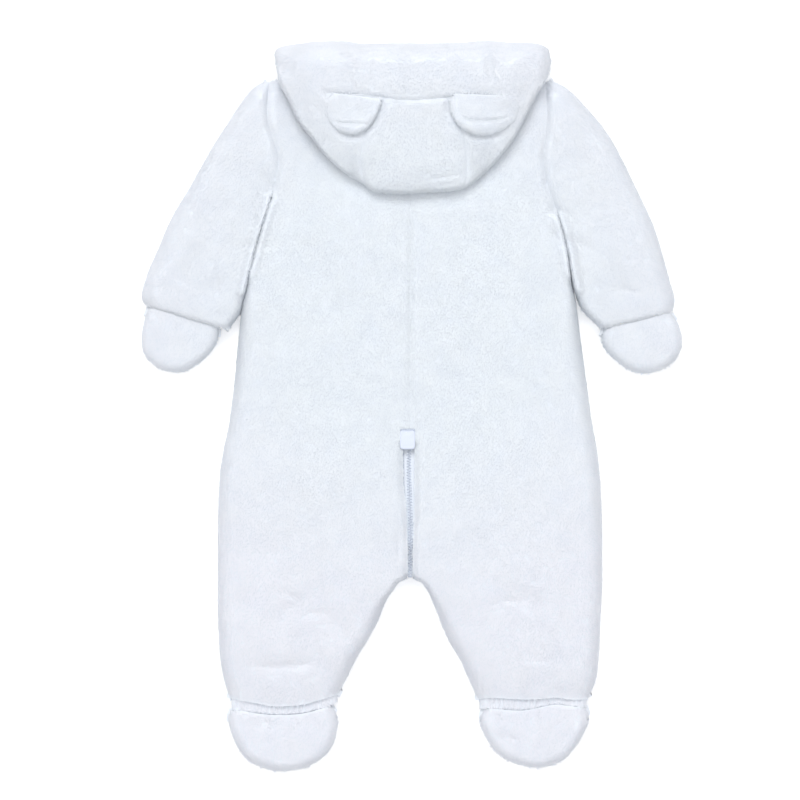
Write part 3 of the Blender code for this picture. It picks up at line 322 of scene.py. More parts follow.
# Zip: from the front neck round the crotch and up the back
ZIP_CENTRE = (
    ("y", "x"),
    (-35.5, -2.4),
    (-58.0, -2.4),
    (-88.0, -1.5),
    (-115.0, -1.2),
    (-134.0, -1.3),
    (-143.5, -1.5),
)
ZIP_HALF = 3.6
ZIP_THICK = 1.8
ZIP_BACK_Z = 24.5
ZIP_FRONT_Z = 5.0
ZIP_FRONT_HALF = 4.4
ZIP_FRONT_TOP_Y = 234.7
ZIP_TURN_RISE = 1.6
ZIP_TURN_BULGE = 0.3   # how far round the crotch it bulges, as a share of a half circle
TAPE_THICK = 0.7
TAPE_SPREAD = 2.2      # how much wider each side of the tape is along the back
COIL_PITCH = 2.4
COIL_RADIUS = 0.55
COIL_LOOP = {"inner": -0.35, "reach": 2.35, "slant": 0.45}
STITCH_RADIUS = {"tape": 0.3, "guard": 0.32}
STITCH_TAPER = np.array([0.6, 1.0, 1.0, 0.6])
TACK_STITCHES = 15
BAR_SIDES = 4
GUARD = {"x": -3.6, "y": -29.6, "width": 13.0, "height": 17.0, "thick": 1.5, "edge": 0.5,
         "hem": 1.9, "rest_z": 30.0}
TAPE_ROW = {"high_y": -39.0, "low_y": -92.0, "pitch": 3.0, "out": 4.5, "z": 24.2}
PULL_ROOM = {"half": 7.0, "low_y": 212.0, "high_y": 266.0}   # kept free of pile for the tab

# Depth and width of the grooves at sewn lines, and the share by which pile is short there
SEAM_GROOVE = {"armhole": (2.2, 3.6), "centre": (0.7, 3.4), "zip": (3.0, 4.0)}
HOOD_GROOVE = {"band": (1.7, 1.9), "crown": (0.9, 2.2)}
TRIM = {"armhole": (0.3, 3.0), "centre": (0.15, 2.0), "ankle": (0.55, 3.5), "hood": (0.45, 2.6)}
FRONT_ZIP_DRAW = (2.4, 4.5)        # how far up the front zip draws the cloth, and the width
NECK_DRAW = (1.6, 4.0)             # the same at the neck seam of the throat

# Soft folds: middle, direction in degrees, half length, half width and depth of each
FOLDS = (
    ("x", "y", "angle", "half_length", "half_width", "depth"),
    (-129.0, 134.5, 4.0, 24.0, 7.0, 1.0),
    (-122.0, 188.0, -60.0, 9.0, 5.0, 2.2),
    (-163.0, 103.0, 78.0, 12.0, 6.0, 2.2),
    (-186.0, 118.0, 62.0, 20.0, 8.0, 1.6),
    (127.0, 162.0, -28.0, 12.0, 5.0, 2.4),
    (136.0, 138.0, -20.0, 14.0, 6.0, 2.4),
    (176.0, 104.0, 118.0, 20.0, 8.0, 1.8),
    (-109.0, -221.0, 2.0, 36.0, 8.0, 1.1),
    (-96.0, -170.0, 28.0, 26.0, 9.0, 1.7),
    (-70.0, -184.0, -18.0, 20.0, 8.0, 1.4),
    (104.0, -212.0, -6.0, 30.0, 9.0, 0.9),
    (92.0, -162.0, -24.0, 26.0, 9.0, 1.8),
    (-48.0, 287.0, 84.0, 13.0, 6.0, 1.8),
    (71.0, 287.0, 96.0, 13.0, 6.0, 1.8),
)

# Smaller folds of the mittens and feet, in the same columns
FINE_FOLDS = (
    ("x", "y", "angle", "half_length", "half_width", "depth"),
    (78.0, -281.0, 100.0, 5.0, 2.6, 1.4),
    (86.0, -284.0, 80.0, 6.0, 2.4, 1.2),
    (75.0, -266.5, 90.0, 5.0, 2.4, 1.0),
    (-76.0, -275.0, 70.0, 6.0, 2.6, 1.2),
    (-98.0, -270.0, 95.0, 6.0, 2.6, 0.9),
    (-122.0, -271.0, 85.0, 6.0, 2.8, 0.9),
    (108.0, -268.0, 95.0, 6.0, 2.8, 0.9),
    (126.0, -267.0, 80.0, 6.0, 2.6, 0.9),
)

# Creases: depth, half width, and the line that each follows
CREASES = (
    (1.6, 1.8, ((-125.5, 183.5), (-122.0, 179.0), (-119.6, 175.5))),
    (1.4, 1.9, ((-12.0, -90.0), (-12.4, -120.0), (-12.0, -148.0))),
    (0.7, 2.0, ((8.5, -96.0), (9.0, -122.0), (8.4, -148.0))),
    (0.8, 3.0, ((-1.5, 176.0), (-1.2, 100.0), (-1.8, 20.0), (-1.5, -18.0))),
    (0.6, 2.6, ((-150.0, 134.6), (-136.0, 135.2), (-120.0, 133.4), (-104.0, 133.8))),
    (1.2, 3.2, ((-146.0, -220.0), (-124.0, -222.4), (-98.0, -221.0), (-74.0, -217.0))),
    (0.9, 2.6, ((-120.0, -156.0), (-104.0, -161.0), (-88.0, -166.0))),
    (1.0, 2.8, ((-96.0, -180.0), (-80.0, -176.0), (-62.0, -178.0))),
    (0.8, 2.4, ((-84.0, -190.0), (-72.0, -196.0), (-60.0, -198.0))),
    (0.9, 2.8, ((62.0, -171.0), (84.0, -166.0), (104.0, -168.0))),
    (0.5, 2.8, ((84.0, -214.0), (108.0, -217.0), (134.0, -214.0))),
    (0.7, 2.4, ((-196.0, 142.0), (-184.0, 130.0), (-170.0, 124.0))),
    (0.8, 2.4, ((-208.0, 112.0), (-192.0, 104.0), (-176.0, 92.0))),
    (0.8, 2.4, ((170.0, 132.0), (184.0, 124.0), (198.0, 124.0))),
    (0.9, 2.4, ((164.0, 96.0), (180.0, 98.0), (200.0, 92.0))),
    (0.8, 3.0, ((128.0, 236.0), (124.0, 222.0), (121.0, 208.0))),
)
HOOD_CREASES = (
    (1.8, 2.2, ((-66.0, 233.0), (-58.0, 229.4), (-48.0, 227.8), (-38.0, 229.6))),
    (2.4, 2.6, ((-20.0, 262.0), (-28.0, 247.0), (-38.5, 226.0))),
    (1.8, 2.2, ((40.0, 232.0), (47.0, 229.0), (57.0, 226.8), (70.0, 227.2), (80.0, 231.0))),
    (2.2, 3.2, ((33.0, 264.0), (29.6, 252.0), (34.0, 238.0))),
    (1.0, 2.0, ((-48.5, 279.0), (-47.5, 272.0), (-46.8, 266.0))),
    (0.8, 2.0, ((63.0, 296.0), (64.0, 284.0), (65.0, 268.0))),
    (0.9, 1.6, ((6.0, 199.0), (12.0, 196.6), (18.0, 198.6))),
    (0.8, 1.6, ((24.0, 201.0), (29.0, 204.0), (35.0, 203.0))),
    (1.1, 1.5, ((3.0, 192.0), (24.0, 193.0), (46.0, 197.0))),
    (1.0, 1.3, ((7.0, 187.4), (26.0, 187.6), (48.0, 191.6))),
    (0.8, 1.3, ((-34.0, 188.4), (-10.0, 185.6), (16.0, 186.2))),
    (1.2, 1.6, ((-78.0, 268.5), (-74.0, 263.4), (-71.0, 257.6))),
    (1.0, 4.5, ((-88.0, 258.0), (-80.0, 251.0), (-78.0, 241.0))),
)

# Creases of the side that lies on the floor
UNDER_CREASES = (
    (4.2, 4.5, ((-150.0, 96.0), (-118.0, 104.0), (-78.0, 98.0), (-40.0, 106.0))),
    (3.4, 3.6, ((-142.0, 58.0), (-104.0, 50.0), (-70.0, 56.0))),
    (3.0, 4.0, ((36.0, 92.0), (74.0, 84.0), (126.0, 92.0))),
    (3.8, 4.2, ((60.0, 34.0), (98.0, 42.0), (146.0, 30.0))),
    (3.2, 3.6, ((-136.0, -58.0), (-96.0, -50.0), (-52.0, -62.0), (-22.0, -84.0))),
    (3.6, 4.4, ((20.0, -96.0), (58.0, -76.0), (110.0, -70.0), (150.0, -78.0))),
    (3.0, 3.4, ((-126.0, -176.0), (-100.0, -184.0), (-70.0, -180.0))),
    (2.8, 3.6, ((-138.0, -214.0), (-104.0, -220.0), (-78.0, -214.0))),
    (3.2, 3.8, ((72.0, -182.0), (104.0, -174.0), (134.0, -182.0))),
    (2.6, 3.4, ((84.0, -216.0), (112.0, -222.0), (138.0, -216.0))),
    (2.8, 3.4, ((-200.0, 128.0), (-178.0, 120.0), (-158.0, 124.0))),
    (2.6, 3.2, ((-170.0, 186.0), (-150.0, 176.0), (-134.0, 178.0))),
    (2.8, 3.4, ((150.0, 118.0), (176.0, 126.0), (196.0, 120.0))),
    (2.6, 3.2, ((136.0, 190.0), (152.0, 182.0), (172.0, 186.0))),
)

# Cloth and pile
PILE_SINK = 1.6        # the cloth lies this far under the reach of the pile,
PILE_SINK_ACROSS = 0.05  # and this far within its outline
CLOTH = 2.6            # thickness of pile backing and lining together
RUMPLES = ((30.0, 0.5), (11.0, 0.22))   # cell size and height of the cloth's unevenness
CREASE_POINTS = 25
CREASE_FADE = 0.45     # share of a crease's length over which each end fades
UNDER_CREASE_ROUND = 12.0   # how far in from an edge they reach their depth,
FINE_ROUND = 8.0            # and the small folds, rims and gathers theirs
TURN_IN = 3.5          # how far an edge turns in at a seam
BACK_STEPS, BACK_COLUMNS = 7, 40
FRONT_STEPS, FRONT_COLUMNS = 5, 20
SLEEVE_STEPS, SLEEVE_COLUMNS = 7, 26
PAD_POINTS, PAD_RINGS = 104, 13
PAD_PROBE = (0.9, 0.5)     # where on a grid the side that faces up or down is read
TUBE_PROBE = (0.5, 0.25)
FLOOR_CLEAR = 0.25     # least height of the cloth over the floor, and of a tuft
TUFT_CLEAR = 0.15
TUFTS_TO_A_SQUARE_MM = 1.3
UNDER_SHARE = 0.22     # the side on the floor has this share of the tufts,
UNDER_LENGTH = 1.3     # each this many times as long,
UNDER_FACING = -0.2    # where the height of the cloth's unit normal is less than this
STEEP_LENGTH, LEVEL_LENGTH = 0.55, 0.45   # of a tuft on a steep side, and more on the level
TUFT_HEIGHT = (0.9, 1.6)
TUFT_REACH = (1.9, 3.3)
TUFT_WIDTH = (0.7, 1.1)
TUFT_TONE = (0.1, 0.4)
# how much lighter a tuft's tip is than its root: painted shade of the pile's depth
ROOT_SHADE_TO_TIP = 0.6
TUFT_BEND = 0.12       # how far its light turns towards its tip, and round it
TUFT_ROUND = 0.08
ROOT_DEPTH = 0.25
NAP_FALL = -2.0        # how strongly the nap leans to the floor where the cloth is steep
SLEEVE_NAP = 0.35      # how far a sleeve's nap leans outwards
SWIRLS = ((22.0, 0.5), (6.0, 0.3))   # cell size and turn of the nap's swirls
SCATTER = 0.4
CLUMPS = (4.5, 0.2)    # cell size and share of the tufts' change of height
PILE_SIZE = {"hood": 1.08, "ear": 0.95, "ankle": 0.95}

# Random seed of each piece's pile
PILE_SEEDS = {name: seed for first, names in (
    (101, ("back_left", "back_right", "front_left", "front_right", "sleeve_left", "sleeve_right",
           "mitten_left_back", "mitten_left_palm", "mitten_right_back", "mitten_right_palm",
           "foot_left_sole", "foot_left_upper", "foot_right_sole", "foot_right_upper",
           "ankle_band_left", "ankle_band_right")),
    (121, ("hood_band", "hood_side_left", "hood_centre", "hood_side_right", "hood_nape",
           "ear_left", "ear_right", "hood_throat_left", "hood_throat_right")),
) for seed, name in enumerate(names, start=first)}


# ---------------------------------------------------------------- plan curves

def columns(table):
    """The columns of a table whose first row names them."""
    values = np.array(table[1:], dtype=float)
    return {name: values[:, i] for i, name in enumerate(table[0])}


def through(values, at):
    """Cubic through rows of values, read at fractional row numbers: a row's slope is the
    mean of the steps beside it, at most three times the smaller one."""
    values = np.asarray(values, dtype=float)
    at = np.asarray(at, dtype=float)
    steps = np.diff(values, axis=0)
    before, after = np.concatenate([steps[:1], steps]), np.concatenate([steps, steps[-1:]])
    most = 3 * np.minimum(np.abs(before), np.abs(after))
    slopes = np.clip((before + after) / 2, -most, most)
    low = np.clip(np.floor(at).astype(int), 0, len(values) - 2)
    t = at - low
    if values.ndim > 1:
        t = t[:, None]
    return (
        values[low] * (1 + 2 * t) * (1 - t) ** 2
        + slopes[low] * t * (1 - t) ** 2
        + values[low + 1] * t * t * (3 - 2 * t)
        + slopes[low + 1] * t * t * (t - 1)
    )


def refined(table, steps):
    """A table's columns with this many rows for each of its own."""
    count = len(table) - 1
    at = np.linspace(0, count - 1, (count - 1) * steps + 1)
    return {name: through(values, at) for name, values in columns(table).items()}


def curve(points, count):
    """Points evenly spaced along a smooth curve through the given ones."""
    points = np.asarray(points, dtype=float)
    fine = through(points, np.linspace(0, len(points) - 1, 24 * (len(points) - 1) + 1))
    run = np.concatenate([[0], np.cumsum(np.linalg.norm(np.diff(fine, axis=0), axis=1))])
    at = np.linspace(0, run[-1], count)
    return np.stack([np.interp(at, run, fine[:, i]) for i in range(fine.shape[1])], axis=1)


def edge_spacing(count):
    """Fractions from 0 to 1, closer together at both ends."""
    return (1 - np.cos(np.linspace(0, math.pi, count + 1))) / 2


def filled(top, bottom, left, right, rows=None):
    """Grid between four edges that meet at their ends: the sum of the two blends between
    facing edges, less the blend of the four corners. The rows are even unless given."""
    v = (np.linspace(0, 1, len(left)) if rows is None else rows)[:, None, None]
    u = np.linspace(0, 1, len(top))[None, :, None]
    across = left[:, None] * (1 - u) + right[:, None] * u
    down = top[None] * (1 - v) + bottom[None] * v
    corners = (
        top[0] * (1 - u) * (1 - v) + top[-1] * u * (1 - v)
        + bottom[0] * (1 - u) * v + bottom[-1] * u * v
    )
    return across + down - corners


def distance(plan, path):
    """Distance of every plan point from a path of straight pieces."""
    points = plan.reshape(-1, 1, 2)
    start, step = path[None, :-1], np.diff(path, axis=0)[None]
    share = np.sum((points - start) * step, axis=2) / np.sum(step * step, axis=2)
    nearest = start + np.clip(share, 0, 1)[..., None] * step
    return np.linalg.norm(points - nearest, axis=2).min(axis=1).reshape(plan.shape[:-1])


def nearest_edge(plan, edges):
    """Distance of every plan point from the nearest of several paths."""
    return np.min([distance(plan, edge) for edge in edges], axis=0)


def inside(points, outline):
    """True for plan points inside a closed outline, by counting its crossings to the right."""
    x, y = points[:, None, 0], points[:, None, 1]
    x0, y0 = outline[None, :, 0], outline[None, :, 1]
    x1, y1 = np.roll(x0, -1, axis=1), np.roll(y0, -1, axis=1)
    spans = (y0 > y) != (y1 > y)
    slope = np.where(y1 == y0, 1e9, y1 - y0)
    return (np.sum(spans & (x < x0 + (y - y0) * (x1 - x0) / slope), axis=1) % 2) == 1


# ------------------------------------------------------------------- heights

def dome(away, width):
    """0 at an edge and 1 from `width` inwards, a quarter circle between."""
    share = np.clip(away / width, 0, 1)
    return np.sqrt(1 - (1 - share) ** 2)


def ease(share):
    """0 to 1 with level ends."""
    share = np.clip(share, 0, 1)
    return share * share * (3 - 2 * share)


def groove(away, depth, width):
    """A bell: its depth at the line, fading over the width."""
    return depth * np.exp(-((away / width) ** 2))


def fold_depth(plan, table=FOLDS):
    """Depth of the soft folds at each plan point: long bell-shaped troughs."""
    depth = np.zeros(plan.shape[:-1])
    for x, y, angle, half_length, half_width, deep in zip(*columns(table).values()):
        turn = math.radians(angle)
        along = (plan[..., 0] - x) * math.cos(turn) + (plan[..., 1] - y) * math.sin(turn)
        across = (plan[..., 1] - y) * math.cos(turn) - (plan[..., 0] - x) * math.sin(turn)
        depth += deep * np.exp(-((along / half_length) ** 2) - (across / half_width) ** 2)
    return depth


def crease_depth(plan, table):
    """Depth of creases at each plan point: a bell across the line, eased to 0 at both ends."""
    points = plan.reshape(-1, 2)
    total = np.zeros(len(points))
    for depth, width, line in table:
        path = curve(line, CREASE_POINTS)
        low, high = path.min(axis=0) - 3 * width, path.max(axis=0) + 3 * width
        near = np.all((points > low) & (points < high), axis=1)
        if near.any():
            gaps = np.linalg.norm(points[near][:, None] - path[None], axis=2)
            place = gaps.argmin(axis=1) / (CREASE_POINTS - 1)
            fade = ease(np.minimum(place, 1 - place) / CREASE_FADE)
            total[near] += groove(distance(points[near], path), depth, width) * fade
    return total.reshape(plan.shape[:-1])


def noise(points, cell, seed):
    """Smooth noise from -1 to 1: random numbers on a cubic lattice of this cell size, blended
    over each cell by the eased share of the way across it."""
    at = np.asarray(points) / cell + 1000.0
    low = np.floor(at).astype(np.int64)
    share = ease(at - low)
    total = np.zeros(at.shape[:-1])
    for corner in itertools.product((0, 1), repeat=3):
        k = low + corner
        mixed = k[..., 0] * 73856093 ^ k[..., 1] * 19349663 ^ k[..., 2] * 83492791 ^ seed * 7919
        mixed = (mixed ^ (mixed >> 13)) * 1274126177 & 0xFFFFFFFF
        value = ((mixed ^ (mixed >> 16)) & 0xFFFFFF) / 0x7FFFFF - 1
        total += value * np.prod(np.where(corner, share, 1 - share), axis=-1)
    return total


def layered(points, table, seed):
    """Sum of smooth noises, one for each cell size and height in a table."""
    return sum(high * noise(points, cell, seed + k) for k, (cell, high) in enumerate(table))


def rumpled(plan, seed):
    """Slight unevenness of worn cloth."""
    return layered(lifted(plan, 0.0), RUMPLES, seed)


def crosswise(plan):
    """Points that keep only the plan's x, for noise that changes from side to side."""
    return np.stack([plan[..., 0], 0 * plan[..., 0], 0 * plan[..., 0]], axis=-1)


# --------------------------------------------------------------------- walls

def lifted(plan, height):
    """Plan points with their heights."""
    return np.concatenate([plan, np.broadcast_to(height, plan.shape[:-1])[..., None]], axis=-1)


def normals(grid, around=False, up=True, probe=(0.5, 0.5)):
    """Unit normals of a grid: the cross product of its two directions, turned so that the
    one at the probe points up, or down for an underside."""
    down = np.gradient(grid, axis=0)
    if around:
        across = (np.roll(grid, -1, axis=1) - np.roll(grid, 1, axis=1)) / 2
    else:
        across = np.gradient(grid, axis=1)
    found = np.cross(down, across)
    found /= np.maximum(np.linalg.norm(found, axis=-1), 1e-9)[..., None]
    row, col = (int(share * (size - 1)) for share, size in zip(probe, grid.shape))
    return found * (1 if (found[row, col, 2] > 0) == up else -1)


def turned_in(grid, around, flat_z, up):
    """The grid with a row at each open edge that goes down to the seam plane, or by TURN_IN
    at a sewn edge that stands higher. A pad's last row is its middle and stays."""
    def skirt(edge):
        low = edge.copy()
        drop = edge[..., 2] - TURN_IN if up else edge[..., 2] + TURN_IN
        low[..., 2] = np.maximum(drop, flat_z) if up else np.minimum(drop, flat_z)
        return low

    if around:
        return np.concatenate([skirt(grid[:1]), grid])
    grid = np.concatenate([skirt(grid[:1]), grid, skirt(grid[-1:])])
    return np.concatenate([skirt(grid[:, :1]), grid, skirt(grid[:, -1:])], axis=1)


def quads(number, around=False):
    """Faces between the neighbouring points of a numbered grid."""
    after = np.roll(number, -1, axis=1) if around else number[:, 1:]
    here = number if around else number[:, :-1]
    return np.stack([here[:-1], here[1:], after[1:], after[:-1]], axis=-1).reshape(-1, 4)


def border(number, around=False):
    """The outer points of a numbered grid, once round."""
    if around:
        return number[0]
    return np.concatenate([number[0], number[1:, -1], number[-1, -2::-1], number[-2:0:-1, 0]])


def wall(outer, inner, around=False):
    """Points and faces of a closed wall: two grids of one shape and a strip between their
    edges. A pad's rings close on its middle."""
    number = np.arange(outer.shape[0] * outer.shape[1]).reshape(outer.shape[:2])
    beyond = number.size
    points = np.concatenate([outer.reshape(-1, 3), inner.reshape(-1, 3)])
    faces = [quads(number, around), quads(number + beyond, around)[:, ::-1]]
    rim = border(number, around)
    faces.append(np.stack([rim, rim + beyond, np.roll(rim, -1) + beyond, np.roll(rim, -1)], axis=1))
    faces = np.concatenate(faces)
    if around:
        middles = np.stack([outer[-1].mean(axis=0), inner[-1].mean(axis=0)])
        points = np.concatenate([points, middles])
        last, end = number[-1], len(points) - 2
        after = np.roll(last, -1)
        ring = np.stack([last, np.full_like(last, end), after], axis=1)
        under = np.stack([after + beyond, np.full_like(last, end + 1), last + beyond], axis=1)
        return points, [faces, np.concatenate([ring, under])]
    return points, [faces]


def solid_mesh(name, points, faces, sharp=60.0):
    """A smooth mesh object from arrays of faces, in metres, turned outwards: the sum of the
    faces' signed volumes is not negative."""
    fans = [f[:, [0, k, k + 1]] for f in faces for k in range(1, f.shape[1] - 1)]
    corners = points[np.concatenate(fans)]
    volume = np.einsum("ij,ij->i", corners[:, 0], np.cross(corners[:, 1], corners[:, 2])).sum()
    if volume < 0:
        faces = [f[:, ::-1] for f in faces]
    return loose_mesh(name, points, faces, sharp)


def loose_mesh(name, points, faces, sharp=None):
    """A mesh object from arrays of faces, in metres, with the faces as they come."""
    mesh = bpy.data.meshes.new(name)
    mesh.vertices.add(len(points))
    mesh.vertices.foreach_set("co", np.ascontiguousarray(points * MM, dtype=np.float32).ravel())
    sizes = np.concatenate([np.full(len(f), f.shape[1]) for f in faces])
    corners = np.concatenate([f.ravel() for f in faces]).astype(np.int32)
    mesh.loops.add(len(corners))
    mesh.loops.foreach_set("vertex_index", corners)
    mesh.polygons.add(len(sizes))
    starts = np.concatenate([[0], np.cumsum(sizes)[:-1]]).astype(np.int32)
    mesh.polygons.foreach_set("loop_start", starts)
    mesh.update(calc_edges=True)
    mesh.validate()
    mesh.shade_smooth()
    if sharp:
        mesh.set_sharp_from_angle(angle=math.radians(sharp))
    obj = bpy.data.objects.new(name, mesh)
    bpy.context.scene.collection.objects.link(obj)
    return obj


# ---------------------------------------------------------------- materials

def ramp(nodes, stops):
    """A colour ramp node with these (place, colour) stops."""
    node = nodes.new("ShaderNodeValToRGB")
    while len(node.color_ramp.elements) < len(stops):
        node.color_ramp.elements.new(0.5)
    for element, (place, colour) in zip(node.color_ramp.elements, stops):
        element.position = place
        element.color = (*colour, 1.0)
    return node


def toned(tree, shader, value, stops, socket="Base Color"):
    """Colour from a ramp over a node's value, into one of the shader's sockets."""
    tones = ramp(tree.nodes, stops)
    tree.links.new(value, tones.inputs["Fac"])
    tree.links.new(tones.outputs["Color"], shader.inputs[socket])


def noise_node(tree, place, scale, detail=2.0, roughness=0.5):
    """A noise node's value at the place."""
    node = tree.nodes.new("ShaderNodeTexNoise")
    node.inputs["Scale"].default_value = scale
    node.inputs["Detail"].default_value = detail
    node.inputs["Roughness"].default_value = roughness
    tree.links.new(place, node.inputs["Vector"])
    return node.outputs["Fac"]


def multiplied(tree, first, second):
    """The product of two colour sockets."""
    node = tree.nodes.new("ShaderNodeMix")
    node.data_type = "RGBA"
    node.blend_type = "MULTIPLY"
    node.inputs["Factor"].default_value = 1.0
    tree.links.new(first, node.inputs[6])
    tree.links.new(second, node.inputs[7])
    return node.outputs[2]


def cloth_shader(name, roughness, sheen, sheen_tint):
    """A material with a Principled shader whose plain values sit on its own sockets."""
    made = bpy.data.materials.new(name)
    made.use_nodes = True
    tree = made.node_tree
    shader = tree.nodes["Principled BSDF"]
    shader.inputs["Roughness"].default_value = roughness
    shader.inputs["Specular IOR Level"].default_value = 0.2
    shader.inputs["Sheen Weight"].default_value = sheen
    shader.inputs["Sheen Roughness"].default_value = 0.55
    shader.inputs["Sheen Tint"].default_value = (*sheen_tint, 1.0)
    place = tree.nodes.new("ShaderNodeTexCoord").outputs["Object"]
    return made, tree, shader, place


def bumped(tree, shader, height, strength, depth):
    """Bump from a node's value, its depth in metres."""
    node = tree.nodes.new("ShaderNodeBump")
    node.inputs["Strength"].default_value = strength
    node.inputs["Distance"].default_value = depth
    tree.links.new(height, node.inputs["Height"])
    tree.links.new(node.outputs["Normal"], shader.inputs["Normal"])


WHITE = (1.0, 1.0, 1.0)
# Colours of the cloth under the pile, kept darker than the tufts: painted shade of the pile's depth
PALE = (0.855, 0.895, 0.95)
DEEP = (0.82, 0.865, 0.93)
MOTTLE = (55.0, 3.0)   # scale and detail of the broad mottling
HUE_TURN_CENTRE = (0.0, 0.09, 0.03)   # the pile's colour turns from blue to a slightly darker violet away from here


def backing_material():
    """Cloth under the pile: pale blue with broad mottling, darker than the tufts as painted shade
    of the pile's depth, and bump like packed pile.
    """
    made, tree, shader, place = cloth_shader("pile_backing", 0.95, 0.32, (0.92, 0.96, 1.0))
    toned(tree, shader, noise_node(tree, place, *MOTTLE), ((0.3, DEEP), (0.62, PALE)))
    bumped(tree, shader, noise_node(tree, place, 900.0, 3.0, 0.6), 0.6, 0.0006)
    return made


def pile_material():
    """Pile tufts: darker at the root and lighter at the tip as painted shade of the pile's depth,
    each tuft of its own tone, over the same broad mottling as the cloth."""
    made, tree, shader, place = cloth_shader("faux_fur_pile", 0.9, 0.2, (0.94, 0.97, 1.0))
    far = tree.nodes.new("ShaderNodeVectorMath")
    far.operation = "DISTANCE"
    far.inputs[1].default_value = HUE_TURN_CENTRE
    tree.links.new(place, far.inputs[0])
    tuft = tree.nodes.new("ShaderNodeAttribute")
    tuft.attribute_name = "tuft_tone_and_root_shade"
    layers = []
    for value, stops in (
        # blue near the middle, a slightly darker violet further out
        (far.outputs["Value"], ((0.12, (0.908, 0.948, 0.985)), (0.27, (0.918, 0.926, 0.976)))),
        (noise_node(tree, place, *MOTTLE),
         ((0.3, (0.965, 0.975, 0.99)), (0.64, (0.99, 0.995, 0.998)))),
        # each tuft's own tone, darker at the root as painted shade of the pile's depth
        (tuft.outputs["Fac"], ((0.0, (0.95, 0.96, 0.975)), (1.0, WHITE))),
    ):
        node = ramp(tree.nodes, stops)
        tree.links.new(value, node.inputs["Fac"])
        layers.append(node.outputs["Color"])
    hue_turn, mottling, tips = layers
    colour = multiplied(tree, multiplied(tree, hue_turn, mottling), tips)
    tree.links.new(colour, shader.inputs["Base Color"])
    bumped(tree, shader, noise_node(tree, place, 2600.0, 1.0), 0.35, 0.0002)
    return made


def woven_material(name, light, dark, scale):
    """Woven cloth or tape: two crossed sets of fine threads in bump and in tone."""
    made, tree, shader, place = cloth_shader(name, 0.6, 0.2, WHITE)
    threads = []
    for direction in ("X", "Y"):
        wave = tree.nodes.new("ShaderNodeTexWave")
        wave.bands_direction = direction
        wave.inputs["Scale"].default_value = scale
        wave.inputs["Distortion"].default_value = 0.3
        tree.links.new(place, wave.inputs["Vector"])
        threads.append(wave.outputs["Fac"])
    crossed = tree.nodes.new("ShaderNodeMath")
    crossed.operation = "MULTIPLY"
    for socket, thread in zip(crossed.inputs, threads):
        tree.links.new(thread, socket)
    toned(tree, shader, crossed.outputs[0], ((0.0, dark), (0.6, light)))
    bumped(tree, shader, crossed.outputs[0], 0.4, 0.0002)
    return made


def thread_material(name, roughness, dark, light):
    """Nylon or sewing thread: half gloss, with faint streaks of tone."""
    made, tree, shader, place = cloth_shader(name, roughness, 0.0, WHITE)
    shader.inputs["Specular IOR Level"].default_value = 0.5
    toned(tree, shader, noise_node(tree, place, 700.0, 2.0), ((0.3, dark), (0.7, light)))
    return made


def enamel_material():
    """Painted metal: pale blue satin enamel, with slight wear in its gloss."""
    made, tree, shader, place = cloth_shader("satin_enamel", 0.3, 0.0, WHITE)
    shader.inputs["Specular IOR Level"].default_value = 0.5
    shader.inputs["Coat Weight"].default_value = 0.3
    patches = noise_node(tree, place, 400.0, 3.0)
    toned(tree, shader, patches, ((0.3, (0.70, 0.77, 0.86)), (0.7, (0.78, 0.84, 0.92))))
    toned(tree, shader, patches, ((0.35, (0.24,) * 3), (0.75, (0.42,) * 3)), "Roughness")
    return made


BACKING = backing_material()
PILE = pile_material()


# ----------------------------------------------------------------- the pile

def tuft_mesh(name, roots, up, lean, height, reach, width, tone):
    """Pile tufts, each a kite bent across its middle, of two three-sided faces.

    Along a tuft s runs 0, 0.5, 1. Its line is root + up * height * (1 - (1 - s)^2)
    + lean * reach * (0.4 s + 0.6 s^2), and it is widest at the bend and 0 at root and tip.
    Light falls on it as on the cloth it grows from, turned a little towards its tip.
    """
    side = np.cross(up, lean)
    side /= np.maximum(np.linalg.norm(side, axis=1), 1e-9)[:, None]
    rows, shades = [], []
    for s, half in ((0.0, 0.0), (0.5, -0.5), (0.5, 0.5), (1.0, 0.0)):
        line = (roots + up * (height * (1 - (1 - s) ** 2))[:, None]
                + lean * (reach * (0.4 * s + 0.6 * s * s))[:, None])
        rows.append(line + side * (width * half)[:, None])
        shades.append(up + lean * TUFT_BEND * s + side * TUFT_ROUND * 2 * half)
    points, shades = np.stack(rows, axis=1), np.stack(shades, axis=1)
    points[..., 2] = np.maximum(points[..., 2], TUFT_CLEAR)
    first = np.arange(len(roots))[:, None] * 4
    faces = [np.concatenate([first + np.array([[0, 1, 2]]), first + np.array([[1, 3, 2]])])]
    obj = loose_mesh(name, points.reshape(-1, 3), faces)
    obj.data.normals_split_custom_set_from_vertices(
        (shades / np.linalg.norm(shades, axis=-1)[..., None]).reshape(-1, 3))
    # Each tuft's random tone, rising to its tip: the darker root is painted shade of the pile's
    # depth
    share = np.array([0.0, 0.5, 0.5, 1.0])
    tones = np.clip(tone[:, None] + share[None] * ROOT_SHADE_TO_TIP, 0, 1)
    attribute = obj.data.attributes.new("tuft_tone_and_root_shade", "FLOAT", "POINT")
    attribute.data.foreach_set("value", tones.ravel().astype(np.float32))
    obj.data.materials.append(PILE)
    return obj


